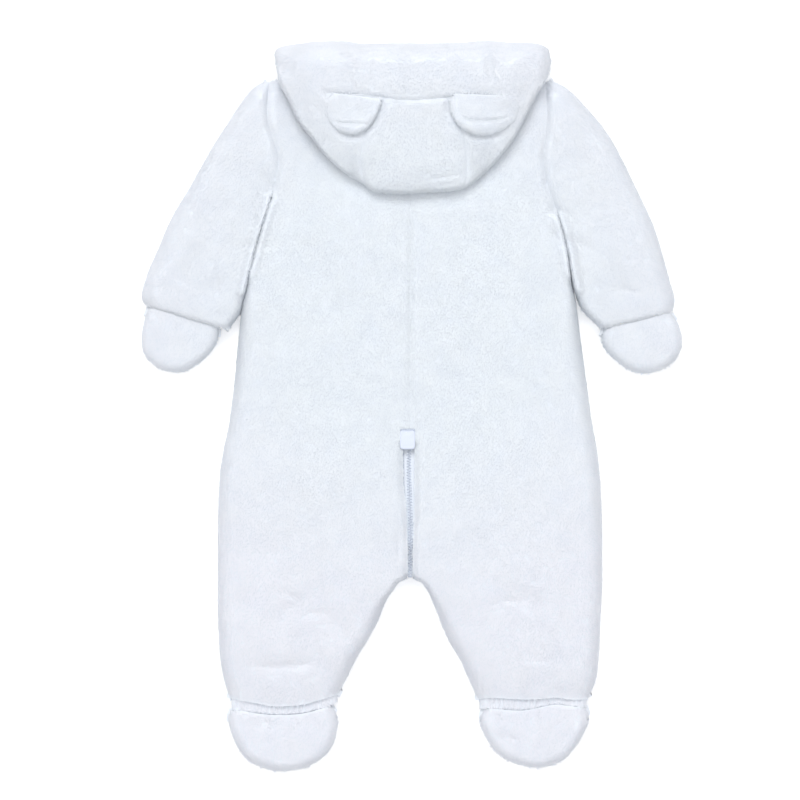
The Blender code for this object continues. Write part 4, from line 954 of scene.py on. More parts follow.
def pile(name, grid, up, nap, skip, size, short):
    """Tufts over a grid surface: places in proportion to area, fewer on the side that faces
    the floor. They lean with the nap, with swirls and scatter, and down where it is steep."""
    rng = np.random.default_rng(PILE_SEEDS[name])
    a, b, c, d = grid[:-1, :-1], grid[1:, :-1], grid[1:, 1:], grid[:-1, 1:]
    area = np.linalg.norm(np.cross(c - a, d - b), axis=-1) / 2
    weight = area * np.where(up[:-1, :-1, 2] < UNDER_FACING, UNDER_SHARE, 1.0)
    count = int(weight.sum() * TUFTS_TO_A_SQUARE_MM)
    cell = rng.choice(area.size, count, p=weight.ravel() / weight.sum())
    row, col = np.unravel_index(cell, area.shape)
    u, v = rng.random((2, count))

    def read(values):
        here = [values[row + i, col + j] for i, j in ((0, 0), (1, 0), (0, 1), (1, 1))]
        w = [(1 - u) * (1 - v), u * (1 - v), (1 - u) * v, u * v]
        return sum(p * k.reshape(-1, *[1] * (p.ndim - 1)) for p, k in zip(here, w))

    roots, normal = read(grid), read(up)
    normal /= np.linalg.norm(normal, axis=1)[:, None]
    trim = np.ones(count) if short is None else read(short)
    if skip is not None:
        keep = ~skip(roots)
        roots, normal, trim, count = roots[keep], normal[keep], trim[keep], int(keep.sum())
    level = np.abs(normal[:, 2])
    turn = (layered(roots, SWIRLS, 11) + rng.normal(0.0, SCATTER, count)) * level
    fall = np.array([*nap, NAP_FALL])
    along = fall - normal * (normal @ fall)[:, None]
    along /= np.maximum(np.linalg.norm(along, axis=1), 1e-6)[:, None]
    beside = np.cross(normal, along)
    lean = along * np.cos(turn)[:, None] + beside * np.sin(turn)[:, None]
    lengths = np.where(
        normal[:, 2] < UNDER_FACING, UNDER_LENGTH, STEEP_LENGTH + LEVEL_LENGTH * level)
    grown = size * trim * lengths
    clump, change = CLUMPS
    height = grown * rng.uniform(*TUFT_HEIGHT, count) * (1 + change * noise(roots, clump, 13))
    reach = grown * rng.uniform(*TUFT_REACH, count)
    width = grown * rng.uniform(*TUFT_WIDTH, count)
    tone = rng.uniform(*TUFT_TONE, count)
    roots = roots - normal * ROOT_DEPTH
    return tuft_mesh("pile_" + name, roots, normal, lean, height, reach, width, tone)


# ------------------------------------------------------------ making a piece

PIECES = {}


def sunk(grid, normal):
    """The cloth's outer side: the pile's reach less its depth, and clear of the floor."""
    base = grid - normal * np.array([PILE_SINK_ACROSS, PILE_SINK_ACROSS, PILE_SINK])
    base[..., 2] = np.maximum(base[..., 2], FLOOR_CLEAR)
    return base


def cloth_piece(name, outer, up, flat_z=None, around=False, skip=None, inner=None, short=None,
                size=1.0):
    """One cloth piece with its pile: the surface sunk under the pile, turned in at its edges as
    far as the seams' height, and walled by the thickness of the cloth, or down to the inner
    surface where one is given."""
    probe = PAD_PROBE if around else (0.5, 0.5)
    normal = normals(outer, around, up, probe)
    base = sunk(outer, normal)
    if inner is None:
        edged = turned_in(base, around, flat_z, up)
        inner = edged - normals(edged, around, up, probe) * CLOTH
    else:
        edged = base

    def closing(grid):
        """A pad's rings with their middle point, and their first column again at the end."""
        if not around:
            return grid
        middle = np.broadcast_to(grid[-1:].mean(axis=1, keepdims=True), grid[-1:].shape)
        whole = np.concatenate([grid, middle])
        return np.concatenate([whole, whole[:, :1]], axis=1)

    dressed(name, wall(edged, inner, around), closing(base), closing(normal), skip=skip,
            size=size, short=None if short is None else closing(short))


def folded_piece(name, surface, short, nap=(0.0, -1.0), size=1.0):
    """A tube laid flat: sunk under its pile, with its open ends and its seam walled."""
    normal = normals(surface, probe=TUBE_PROBE)
    base = sunk(surface, normal)
    inner = base - normals(base, probe=TUBE_PROBE) * CLOTH
    dressed(name, wall(base, inner), base, normal, nap=nap, size=size, short=short)


def dressed(name, shape, base, normal, nap=(0.0, -1.0), skip=None, size=1.0, short=None):
    """The cloth and the pile of one node as two objects that ride and go together."""
    cloth = solid_mesh("cloth_" + name, *shape)
    cloth.data.materials.append(BACKING)
    fur = pile(name, base, normal, nap, skip, size, short)
    for piece in (cloth, fur):
        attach(piece, SUIT)
    PIECES[name] = (cloth, fur)


# ------------------------------------------------------------ torso and legs

def top_line(x, neck_y):
    """Shoulder slope outside the neck, and a rounded neckline inside it."""
    out = np.abs(x - CENTRE_X)
    slope = np.clip((out - NECK_HALF) / (ARMHOLE_HALF - NECK_HALF), 0, 1)
    shoulder = NECK_POINT_Y - (NECK_POINT_Y - ARMHOLE_TOP_Y) * slope ** SHOULDER_CURVE
    dip = neck_y + (NECK_POINT_Y - neck_y) * np.clip(out / NECK_HALF, 0, 1) ** NECK_CURVE
    return np.where(out > NECK_HALF, shoulder, dip)


def ankle_line(x, side, column):
    """Place up the garment of an ankle seam at x."""
    rows = columns(ANKLES[side])
    fine = np.linspace(0, len(rows["x"]) - 1, 60)
    return np.interp(x, through(rows["x"], fine), through(rows[column], fine))


def body_plan(side, neck_y, steps, count):
    """Plan of one half, a row for each height, from the side seam in to the middle."""
    rows = refined(BODY, steps)
    outer, inner = rows[side + "_side"], rows[side + "_inner"]
    u = edge_spacing(count)
    x = outer[:, None] * (1 - u) + inner[:, None] * u
    y = np.repeat(rows["y"][:, None], count + 1, axis=1)
    top = (top_line(x, neck_y) - TOP_BLEND_Y) / (ARMHOLE_TOP_Y - TOP_BLEND_Y)
    y = np.where(y > TOP_BLEND_Y, TOP_BLEND_Y + (y - TOP_BLEND_Y) * top, y)
    seam = ankle_line(x, side, "upper")
    low = (seam - BOTTOM_BLEND_Y) / (ANKLE_MEAN_Y - BOTTOM_BLEND_Y)
    y = np.where(y < BOTTOM_BLEND_Y, BOTTOM_BLEND_Y + (y - BOTTOM_BLEND_Y) * low, y)
    return np.stack([x, y], axis=-1), rows["crown"]


def free_edges(plan, side, steps):
    """Edges of a half where the garment ends: shoulder, side below the arm, inside leg."""
    return [plan[0], plan[UNDERARM[side] * steps:, 0], plan[CROTCH * steps:, -1]]


def hood_outline():
    """Plan outline of the folded hood."""
    return np.concatenate([
        curve(SIDE_EDGE_LEFT, 30), curve(FOLD_EDGE_LEFT, 6)[1:], curve(FOLD_EDGE_MIDDLE, 24)[1:],
        curve(FOLD_EDGE_RIGHT, 6)[1:], curve(SIDE_EDGE_RIGHT, 30)[::-1][1:],
        curve(HOOD_RIGHT_END, 8)[::-1][1:], curve(HOOD_TOP, 60)[::-1][1:],
        curve(HOOD_LEFT_END, 8)[1:-1],
    ])


HOOD_OUTLINE = hood_outline()


def underarm_lines(side):
    """The sleeve's inner edge and the torso's side, where they lie against each other."""
    table = columns(SLEEVES[side])
    sleeve = np.stack([table["inner_x"], table["inner_y"]], axis=1)[UNDERARM[side]:-2]
    body = columns(BODY)
    torso = np.stack([body[side + "_side"], body["y"]], axis=1)
    lowest, highest = sleeve[:, 1].min(), sleeve[:, 1].max()
    return sleeve, torso[(torso[:, 1] > lowest - 8.0) & (torso[:, 1] < highest + 8.0)]


def pressed_up(plan, line, rise):
    """How far cloth is pushed up along the line where arm and torso press together."""
    return groove(distance(plan, line), rise, PRESSED_WIDTH)


def hood_trough(plan):
    """How far the shoulders sink beside the hood's sides and below its fold, as bells."""
    sides = nearest_edge(plan, (curve(SIDE_EDGE_LEFT, 30), curve(SIDE_EDGE_RIGHT, 30)))
    below = distance(plan, curve(FOLD_EDGE_MIDDLE, 24))
    return np.maximum(groove(sides, *HOOD_TROUGH["side"]), groove(below, *HOOD_TROUGH["fold"]))


def under_hood(points, margin=9.0):
    """True where the back lies under the hood, further in than the margin."""
    plan = points[:, :2]
    hidden = inside(plan, HOOD_OUTLINE)
    near = distance(plan, np.concatenate([HOOD_OUTLINE, HOOD_OUTLINE[:1]])) < margin
    return hidden & ~near


def back_panel(side):
    """Back half: domed from its free edges, with folds, and sewn lines sunk as bell grooves."""
    steps = BACK_STEPS
    plan, crown = body_plan(side, BACK_NECK_Y, steps, BACK_COLUMNS)
    shoulder, flank, leg = (distance(plan, edge[::2]) for edge in free_edges(plan, side, steps))
    y = plan[..., 1]
    flank *= 1 + ARM_TIGHT["more"] * ease((y - ARM_TIGHT["low_y"]) / ARM_TIGHT["over"])
    leg *= 1 + groove(y - CROTCH_TIGHT["y"], CROTCH_TIGHT["more"], CROTCH_TIGHT["half"])
    away = np.min([shoulder, flank, leg], axis=0)
    edge = BACK_FLAT + EDGE_WALL
    height = edge + (crown[:, None] - EDGE_WALL) * dome(away, EDGE_ROUND)
    sunken = fold_depth(plan) + crease_depth(plan, CREASES) + hood_trough(plan) + rumpled(plan, 51)
    height += BROAD_RISE["body"] * dome(away, BROAD_ROUND) - sunken * dome(away, EDGE_ROUND)
    armhole = distance(plan, plan[:UNDERARM[side] * steps + 1:2, 0])
    centre = distance(plan, plan[:ZIP_TOP * steps + 1:2, -1])
    zip_edge = distance(plan, plan[(ZIP_TOP + 1) * steps:CROTCH * steps + 1:2, -1])
    for gap, size in ((armhole, "armhole"), (centre, "centre"), (zip_edge, "zip")):
        height -= groove(gap, *SEAM_GROOVE[size])
    height += pressed_up(plan, underarm_lines(side)[1], PRESSED_UP["torso"])
    short = 1 - groove(np.minimum(armhole, zip_edge), *TRIM["armhole"])
    short *= 1 - groove(centre, *TRIM["centre"])
    short *= 1 - groove(distance(plan, plan[-1]), *TRIM["ankle"])
    cloth_piece("back_" + side, lifted(plan, np.maximum(height, edge)), True, BACK_FLAT,
                skip=under_hood, short=short)


def zip_room(points):
    """True on the underside where the pull tab lies and swings."""
    return ((np.abs(points[:, 0] - CENTRE_X) < PULL_ROOM["half"])
            & (points[:, 1] > PULL_ROOM["low_y"]) & (points[:, 1] < PULL_ROOM["high_y"]))


def front_panel(side):
    """Front half: flat on the floor, rounded up to its free edges and drawn up at the zip."""
    steps = FRONT_STEPS
    plan = body_plan(side, FRONT_NECK_Y, steps, FRONT_COLUMNS)[0]
    middle = CENTRE_X + SIGN[side] * ZIP_FRONT_HALF
    u = edge_spacing(FRONT_COLUMNS)
    shift = np.where(np.arange(len(plan)) <= CROTCH * steps, middle - plan[:, -1, 0], 0)
    plan[..., 0] += shift[:, None] * u ** 4
    edge = FRONT_FLAT - EDGE_WALL
    free = [path[::2] for path in free_edges(plan, side, steps)]
    height = edge * (1 - dome(nearest_edge(plan, free), UNDER_ROUND))
    height += groove(distance(plan, plan[-1]), ANKLE_LIFT, LIFT_WIDTH["leg"])
    height += groove(distance(plan, plan[:CROTCH * steps + 1:2, -1]), *FRONT_ZIP_DRAW)
    height += crease_depth(plan, UNDER_CREASES) + rumpled(plan, 58)
    cloth_piece("front_" + side, lifted(plan, np.minimum(height, edge)), False, FRONT_FLAT,
                skip=zip_room)


# ------------------------------------------------ sleeves, mittens and ankles

def sleeve(side):
    """Sleeve folded along its outer side: one surface from the back armhole round the fold to
    the front one, domed from the fold and the underarm seam."""
    rows = refined(SLEEVES[side], SLEEVE_STEPS)
    outer = np.stack([rows["outer_x"], rows["outer_y"]], axis=1)
    inner = np.stack([rows["inner_x"], rows["inner_y"]], axis=1)
    u = edge_spacing(SLEEVE_COLUMNS)[None, :, None]
    last = UNDERARM[side] * SLEEVE_STEPS
    down = np.arange(len(inner))
    press = PRESS_ABOVE + (1 - PRESS_ABOVE) * ease((down - last) / SLEEVE_STEPS)
    press *= ease((len(inner) - 1 - down) / SLEEVE_STEPS)
    inner[:, 0] -= PRESS * press * SIGN[side]
    plan = outer[:, None] * (1 - u) + inner[:, None] * u
    fold, underarm_seam, armhole = plan[::2, 0], plan[last::2, -1], plan[:last + 1:2, -1]
    away = np.minimum(distance(plan, fold), distance(plan, underarm_seam) * UNDERARM_TIGHT)
    to_cuff, to_armhole = distance(plan, plan[-1]), distance(plan, armhole)
    cuff = dome(to_cuff, CUFF_ROUND) * CUFF_SWELL + CUFF_SHARE
    swell = (rows["crown"][:, None] * dome(away, EDGE_ROUND)
             + BROAD_RISE["sleeve"] * dome(away, BROAD_ROUND)) * cuff
    sunken = groove(to_armhole, *SEAM_GROOVE["armhole"])
    sunken = sunken + fold_depth(plan) + crease_depth(plan, CREASES) + rumpled(plan, 53)
    sunken += hood_trough(plan) * SLEEVE_TROUGH
    over = SEAM_PLANE + swell - sunken * dome(away, EDGE_ROUND)
    over += pressed_up(plan, underarm_lines(side)[0], PRESSED_UP["sleeve"])
    under = SEAM_PLANE * (1 - dome(away, UNDER_ROUND))
    under += crease_depth(plan, UNDER_CREASES) * dome(away, UNDER_CREASE_ROUND)
    over[:, -1] = np.maximum(over[:, -1], SEAM_PLANE + EDGE_WALL)
    under[:, -1] = np.minimum(under[:, -1], SEAM_PLANE - EDGE_WALL)
    under[:, 0] = over[:, 0] = SEAM_PLANE
    short = 1 - groove(to_armhole, *TRIM["armhole"])
    folded_piece("sleeve_" + side, folded_over(lifted(plan, over), lifted(plan, under)),
                 folded_over(short, short), nap=(SLEEVE_NAP * SIGN[side], -1.0))


def folded_over(over, under):
    """Upper and lower side of a tube laid flat as one grid, joined at their first columns."""
    return np.concatenate([over[:, ::-1], under[:, 1:]], axis=1)


def rings(rim):
    """Rings from a closed outline in to its middle, closer together at the outline."""
    middle = rim.mean(axis=0)
    share = np.cos(np.linspace(0, math.pi / 2, PAD_RINGS + 1))[:-1]
    return middle + (rim - middle)[None] * share[:, None, None]


def closed_loop(free_points, seam, count):
    """Outline of a pad: its free edge, then its seam back to the start."""
    free = curve(free_points, count)
    return np.concatenate([free, seam[1:-1]]), free


def two_pads(names, loop, free, seam, crown, root_crown):
    """Back and front pad of a mitten or foot: each swells as a dome in from the free edge and
    grows from the seam over ROOT_RAMP."""
    plan = rings(loop)
    away, from_seam = distance(plan, free[::3]), distance(plan, seam)
    full = root_crown + (crown - root_crown) * ease(from_seam / ROOT_RAMP)
    over = BACK_FLAT + EDGE_WALL + (full - EDGE_WALL) * dome(away, PAD_ROUND)
    over -= (fold_depth(plan, FINE_FOLDS) + rumpled(plan, 57)) * dome(away, FINE_ROUND)
    cloth_piece(names[0], lifted(plan, over), True, BACK_FLAT, around=True)
    edge = FRONT_FLAT - EDGE_WALL
    under = edge * (1 - dome(away, UNDER_ROUND)) + groove(from_seam, ANKLE_LIFT, LIFT_WIDTH["pad"])
    cloth_piece(names[1], lifted(plan, np.minimum(under, edge)), False, FRONT_FLAT, around=True)


def mitten(side):
    """Mitten, its seam a straight line across the cuff."""
    points = MITTENS[side]
    seam = curve((points[-1], points[0]), 26)
    loop, free = closed_loop(points, seam, PAD_POINTS - 24)
    names = (f"mitten_{side}_back", f"mitten_{side}_palm")
    two_pads(names, loop, free, seam, MITTEN_CROWN, MITTEN_ROOT_CROWN)


def foot(side):
    """Foot, its seam along the ankle band's lower edge."""
    points = FEET[side]
    x = np.linspace(points[-1][0], points[0][0], 33)
    seam = np.stack([x, ankle_line(x, side, "lower") - SEAM_GAP - 0.1], axis=1)
    seam[0], seam[-1] = points[-1], points[0]
    loop, free = closed_loop(points, seam, PAD_POINTS - 31)
    names = (f"foot_{side}_sole", f"foot_{side}_upper")
    two_pads(names, loop, free, seam, FOOT_CROWN, FOOT_ROOT_CROWN)


def ankle_band(side):
    """Elastic casing round the ankle, folded at the side of the leg, with gathers: ridges
    across it whose spacing and height change by noise."""
    rows = columns(ANKLES[side])
    drop = SEAM_GAP + 0.1
    outer_first = slice(None, None, -SIGN[side])
    top = np.stack([rows["x"], rows["upper"] - drop + ANKLE_BAND["tucked"]], axis=1)[outer_first]
    bottom = np.stack([rows["x"], rows["lower"]], axis=1)[outer_first]
    top, bottom = curve(top, BAND_COLUMNS), curve(bottom, BAND_COLUMNS)
    left, right = (curve((top[k], bottom[k]), BAND_ROWS) for k in (0, -1))
    plan = filled(top, bottom, left, right)
    plan[..., 0] += (plan[..., 0].mean() - plan[..., 0]) * ANKLE_BAND["drawn_in"]
    away = nearest_edge(plan, [plan[:, 0], plan[:, -1]])
    out = np.abs(np.linspace(-1, 1, BAND_COLUMNS))
    ends = BAND_ROLL["ends"] * ease((out - BAND_ROLL["from"]) / BAND_ROLL["over"])
    long_edges = nearest_edge(plan, [plan[0], plan[-1]])
    roll = dome(long_edges + BAND_ROLL["edge"] + ends, BAND_ROLL["round"])
    spot = crosswise(plan)
    phase = plan[..., 0] / GATHERS["pitch"] + GATHERS["wander"] * noise(spot, 13.0, 31)
    gather = GATHERS["high"] * np.sin(2 * math.pi * phase)
    gather = gather * (0.6 + 0.4 * noise(spot, 7.0, 32)) * dome(away, FINE_ROUND) * roll
    edge = ANKLE_BAND["edge"]
    over = (ANKLE_CROWN - edge) * dome(away, ANKLE_BAND["round"]) * roll
    under = (SEAM_PLANE - edge - ANKLE_LIFT) * dome(away, ANKLE_BAND["round"]) * roll
    over, under = SEAM_PLANE + edge + over + gather, SEAM_PLANE - edge - under - gather
    over[:, 0] = under[:, 0] = SEAM_PLANE
    least, more = ANKLE_PILE
    short = least + more * ease((away - 1.0) / 9.0)
    folded_piece("ankle_band_" + side, folded_over(lifted(plan, over), lifted(plan, under)),
                 folded_over(short, short), size=PILE_SIZE["ankle"])


# ---------------------------------------------------------------------- hood

def hood_section(plan, column):
    """Height of the crown layer's under or upper side by how far up the garment it lies."""
    profile = refined(HOOD_PROFILE, 6)
    return np.interp(plan[..., 1], profile["y"], profile[column])


def under_ears(points):
    """True where the hood lies under an ear, further in than 6 mm."""
    hidden = np.zeros(len(points), dtype=bool)
    for outline in EARS.values():
        loop = curve((*outline, outline[0]), 60)
        hidden |= inside(points[:, :2], loop[:-1]) & (distance(points[:, :2], loop) > 6.0)
    return hidden


def hood_fall(plan):
    """How far the hood falls towards its sides and its fold, as a square of the way there."""
    sides = nearest_edge(plan, (curve(SIDE_EDGE_LEFT, 41), curve(SIDE_EDGE_RIGHT, 41)))
    fold = nearest_edge(plan, [curve(path, 24) for path in
                               (FOLD_EDGE_LEFT, FOLD_EDGE_MIDDLE, FOLD_EDGE_RIGHT)])
    return sum(
        deep * (1 - np.clip(gap / wide, 0, 1)) ** 2
        for gap, (deep, wide) in ((sides, HOOD_FALL["side"]), (fold, HOOD_FALL["fold"]))
    )


def mouth(surface, under, away):
    """The band's wall drawn in towards the middle: a bell groove where the hood's two layers
    meet, and the lower layer tucked in unevenly below it. Gives both sides of the piece."""
    out = normals(surface)[..., :2]
    out /= np.linalg.norm(out, axis=-1, keepdims=True) + 1e-6
    z, along = surface[..., 2], crosswise(surface)
    groove_in, tuck = (
        HOOD_MOUTH[key] * (1 + share * noise(along, cell, seed))
        for key, (cell, share), seed in (
            ("deep", HOOD_MOUTH["deep_noise"], 62), ("tuck", HOOD_MOUTH["tuck_noise"], 63)))
    draw = groove(z - HOOD_MOUTH["z"], groove_in, HOOD_MOUTH["half"])
    draw += tuck * ease((HOOD_MOUTH["z"] - z) / HOOD_MOUTH["tuck_over"])
    near = np.exp(-away / HOOD_MOUTH["near"])
    over, below = surface.copy(), under.copy()
    over[..., :2] -= out * draw[..., None]
    below[..., :2] -= out * (tuck * near)[..., None]
    return over, below


def hood_crown():
    """Upper layer of the folded hood: centre, two sides and the band round the face opening.
    Each piece lies between the section's under and upper height, less its fall, and is rounded
    at its free edges. The band's end is rounded unevenly, and its wall is the mouth."""
    side_count, middle_count, down_count, band_rows = 41, 33, 41, 27
    seam_left = curve(BAND_SEAM_LEFT, side_count)
    seam_middle = curve(BAND_SEAM_MIDDLE, middle_count)
    seam_right = curve(BAND_SEAM_RIGHT, side_count)
    band_seam = np.concatenate([seam_left, seam_middle[1:], seam_right[1:]])
    crown_left, crown_right, side_left, side_right = (curve(line, down_count) for line in (
        CROWN_SEAM_LEFT, CROWN_SEAM_RIGHT, SIDE_EDGE_LEFT, SIDE_EDGE_RIGHT))
    fold_left, fold_right = curve(FOLD_EDGE_LEFT, side_count), curve(FOLD_EDGE_RIGHT, side_count)
    fold_middle = curve(FOLD_EDGE_MIDDLE, middle_count)
    top = curve(HOOD_TOP, len(band_seam))
    rows = np.linspace(0, 1, band_rows) ** 1.8
    fine = np.linspace(0, 1, 200)
    ends = [np.stack([np.interp(rows, fine, curve(end, 200)[:, i]) for i in (0, 1)], axis=1)
            for end in (HOOD_LEFT_END, HOOD_RIGHT_END)]
    free = (
        (top, HOOD_ROUND), (ends[0], HOOD_ROUND), (ends[1], HOOD_ROUND),
        (side_left, HOOD_SIDE_ROUND), (side_right, HOOD_SIDE_ROUND),
        (fold_left, HOOD_FOLD_ROUND), (fold_middle, HOOD_FOLD_ROUND), (fold_right, HOOD_FOLD_ROUND),
    )
    grooves = (
        (band_seam, HOOD_GROOVE["band"]),
        (crown_left, HOOD_GROOVE["crown"]),
        (crown_right, HOOD_GROOVE["crown"]),
    )
    pieces = {
        "hood_band": (top, band_seam, *ends),
        "hood_side_left": (seam_left, fold_left, side_left, crown_left),
        "hood_centre": (seam_middle, fold_middle, crown_left, crown_right),
        "hood_side_right": (seam_right, fold_right, crown_right, side_right),
    }
    for name, edges in pieces.items():
        plan = filled(*edges, rows=rows if name == "hood_band" else None)
        under, full = hood_section(plan, "under"), hood_section(plan, "over")
        sides = nearest_edge(plan, (side_left, side_right))
        fall = hood_fall(plan)
        full, under = full - fall, np.maximum(under - fall, np.minimum(under, 0.0))
        x, y = plan[..., 0], plan[..., 1]
        sag = HOOD_SAG["share"] * noise(crosswise(plan), HOOD_SAG["cell"], 61)
        sag = 1 + sag * ease((y - HOOD_SAG["low_y"]) / HOOD_SAG["over"])
        away = sag * np.min(
            [distance(plan, path) * HOOD_ROUND / width for path, width in free], axis=0)
        height = full - fold_depth(plan) - crease_depth(plan, HOOD_CREASES) - rumpled(plan, 55)
        seams = np.min([distance(plan, path) for path, _ in grooves], axis=0)
        fade = ease((np.abs(x - SEAM_FADE["x"]) - SEAM_FADE["half"]) / SEAM_FADE["over"])
        faint = 1 - SEAM_FADE["share"] * fade
        for path, size in grooves:
            height -= groove(distance(plan, path), *size) * faint
        hang = ease((y - HOOD_HANG["low_y"]) / HOOD_HANG["over"])
        hang = hang * (1 - ease((y - HOOD_HANG["high_y"]) / HOOD_HANG["over"]))
        under = under - groove(sides, HOOD_SIDE_DROP, HOOD_HANG["width"]) * hang
        edge_wall = EDGE_WALL + HOOD_EDGE + PILE_SINK
        over = under + edge_wall + (height - under - edge_wall) * dome(away, HOOD_ROUND)
        share, width = TRIM["hood"]
        short = 1 - groove(seams, share * faint, width)
        surface, inner = lifted(plan, over), lifted(plan, under)
        if name == "hood_band":
            surface, inner = mouth(surface, inner, away)
        cloth_piece(name, surface, True, skip=under_ears, inner=inner, short=short,
                    size=PILE_SIZE["hood"])


def hood_nape():
    """Lower layer of the hood, from the neck seam down to the fold."""
    left, right = curve(NAPE_LEFT, 40), curve(NAPE_RIGHT, 40)
    plan = filled(curve(NAPE_TOP, 60), curve(NAPE_BOTTOM, 60), left, right)
    away = nearest_edge(plan, [left, curve(NAPE_BOTTOM, 40), right])
    full = (NAPE_THICK - EDGE_WALL - PILE_SINK) * dome(away, 6.0)
    over = HOOD_REST + EDGE_WALL + PILE_SINK + full
    cloth_piece("hood_nape", lifted(plan, over), True, inner=lifted(plan, HOOD_REST),
                skip=lambda points: under_hood(points, 7.0))


def ear(side):
    """Ear laid flat on the hood: a pad domed from its edge, with a bell groove inside its rim.
    It stands up more towards its tip and towards the middle of the hood."""
    points = EARS[side]
    seam = curve((points[-1], points[0]), 25)
    loop, free = closed_loop(points, seam, PAD_POINTS - 23)
    plan = rings(loop)
    away = nearest_edge(plan, [free[::2], seam])
    inward = (plan[..., 0] - plan[..., 0].mean()) * -SIGN[side] / EAR_RAISE["across"]
    downward = (plan[..., 1].mean() - plan[..., 1]) / EAR_RAISE["down"]
    raised = EAR_RAISE["start"] + EAR_RAISE["inward"] * inward
    raised = ease(raised + EAR_RAISE["downward"] * downward)
    rest = EAR_BED - hood_fall(plan) + EAR_LIFT * raised
    rim = crease_depth(plan, ((*EAR_RIM, EAR_RIMS[side]),)) * dome(away, FINE_ROUND)
    thick = (EAR_THICK["flat"] + EAR_THICK["raised"] * raised) * dome(away, EAR_ROUND)
    over = rest + EAR_THICK["edge"] + thick - rim
    cloth_piece("ear_" + side, lifted(plan, over), True, around=True, inner=lifted(plan, rest),
                size=PILE_SIZE["ear"])


def throat(side):
    """Front of the hood, from the top of the zip round the neckline to the shoulder."""
    away = SIGN[side]
    out = np.linspace(ZIP_FRONT_HALF - 3.9, NECK_HALF, 41)
    neckline = top_line(CENTRE_X + out, FRONT_NECK_Y) + SEAM_GAP + 0.2
    low = np.stack([CENTRE_X + away * out, neckline], axis=1)
    start = np.array([low[0, 0], FRONT_NECK_Y + THROAT_HEIGHT])
    bend, end = (np.array([CENTRE_X + away * aside, y]) for aside, y in (
        THROAT_BEND, THROAT_OUTER_END))
    high = curve((start, bend, end), 41)
    plan = filled(high, low, curve((high[0], low[0]), 17), curve((high[-1], low[-1]), 17))
    edge = FRONT_FLAT - EDGE_WALL
    height = edge * (1 - dome(nearest_edge(plan, [plan[0], plan[:, -1]]), UNDER_ROUND))
    height = np.minimum(height, edge) + groove(distance(plan, plan[-1]), *NECK_DRAW)
    cloth_piece("hood_throat_" + side, lifted(plan, np.minimum(height, edge)), False, FRONT_FLAT,
                skip=zip_room)


# ----------------------------------------------------------------------- zip

def zip_path(step=1.0):
    """Middle line of the zip as x, y, z: down the back, round the crotch, up the front."""
    rows = refined(ZIP_CENTRE, 12)
    back_z = ZIP_BACK_Z - ZIP_THICK / 2
    front_z = ZIP_FRONT_Z + ZIP_THICK / 2
    fall = ease((ZIP_CENTRE[4][0] - rows["y"]) / 12.0) * ZIP_TURN_RISE
    back = np.stack([rows["x"], rows["y"], back_z - fall], axis=1)
    low_y = rows["y"][-1]
    top_z, radius = back[-1, 2], (back[-1, 2] - front_z) / 2
    angles = np.linspace(0, math.pi, 25)[1:]
    turn = np.stack([
        np.full(24, CENTRE_X),
        low_y - np.sin(angles) * radius * ZIP_TURN_BULGE,
        top_z - radius + np.cos(angles) * radius,
    ], axis=1)
    y = np.linspace(low_y, ZIP_FRONT_TOP_Y, 100)[1:]
    front = np.stack([np.full(99, CENTRE_X), y, np.full(99, front_z)], axis=1)
    path = np.concatenate([back, turn, front])
    run = np.concatenate([[0], np.cumsum(np.linalg.norm(np.diff(path, axis=0), axis=1))])
    at = np.linspace(0, run[-1], int(run[-1] / step) + 1)
    return np.stack([np.interp(at, run, path[:, i]) for i in range(3)], axis=1)


def zip_frames(path):
    """Direction along the zip and the direction out of its face at each point."""
    ahead = np.gradient(path, axis=0)
    ahead /= np.linalg.norm(ahead, axis=1)[:, None]
    out = np.stack([np.zeros(len(path)), -ahead[:, 2], ahead[:, 1]], axis=1)
    out *= -1 if out[0, 2] < 0 else 1
    return ahead, out / np.linalg.norm(out, axis=1)[:, None]


def zip_tape():
    """Tape: a section of nine points across, thicker where the coil is sewn, carried along
    the zip's path."""
    path = zip_path(2.0)
    _, out = zip_frames(path)
    across = np.linspace(-1, 1, 9)
    half = ZIP_HALF + TAPE_SPREAD * ease((path[:, 1] + 140.0) / 18.0) * (path[:, 2] > SEAM_PLANE)
    top = TAPE_THICK * (0.5 + 0.25 * np.cos(across * math.pi))
    grid = path[:, None] + np.array([1.0, 0, 0]) * (across[None] * half[:, None])[..., None]
    high = grid + out[:, None] * (top - ZIP_THICK / 2 + 0.2)[None, :, None]
    low = grid - out[:, None] * ZIP_THICK / 2
    obj = solid_mesh("zip_tape", *wall(high, low))
    obj.data.materials.append(
        woven_material("woven_tape", (0.90, 0.93, 0.975), (0.80, 0.85, 0.93), 420.0))
    return obj


def bars(name, lines, first, second, thick):
    """Many like four-sided bars in one mesh: a ring of corners round each point of each line,
    out along the bar's two side directions by its thickness there, closed at both ends."""
    turn = np.arange(BAR_SIDES) * 2 * math.pi / BAR_SIDES
    ring = (first[:, None, None] * np.cos(turn)[None, None, :, None]
            + second[:, None, None] * np.sin(turn)[None, None, :, None])
    points = lines[:, :, None] + ring * np.asarray(thick)[None, :, None, None]
    count, stations = lines.shape[:2]
    number = np.arange(count * stations * BAR_SIDES).reshape(count, stations, BAR_SIDES)
    after = np.roll(number, -1, axis=2)
    sides = np.stack([number[:, :-1], number[:, 1:], after[:, 1:], after[:, :-1]], axis=-1)
    ends = [number[:, :1, ::-1], number[:, -1:]]
    faces = np.concatenate([sides.reshape(count, -1, 4), *ends], axis=1)
    forward = np.einsum("ij,ij->i", np.cross(first, second), lines[:, -1] - lines[:, 0]) > 0
    faces[~forward] = faces[~forward, :, ::-1]
    sides_out = faces[:, :-2].reshape(-1, 4)[:, ::-1]
    return loose_mesh(name, points.reshape(-1, 3), [sides_out, faces[:, -2:].reshape(-1, 4)])


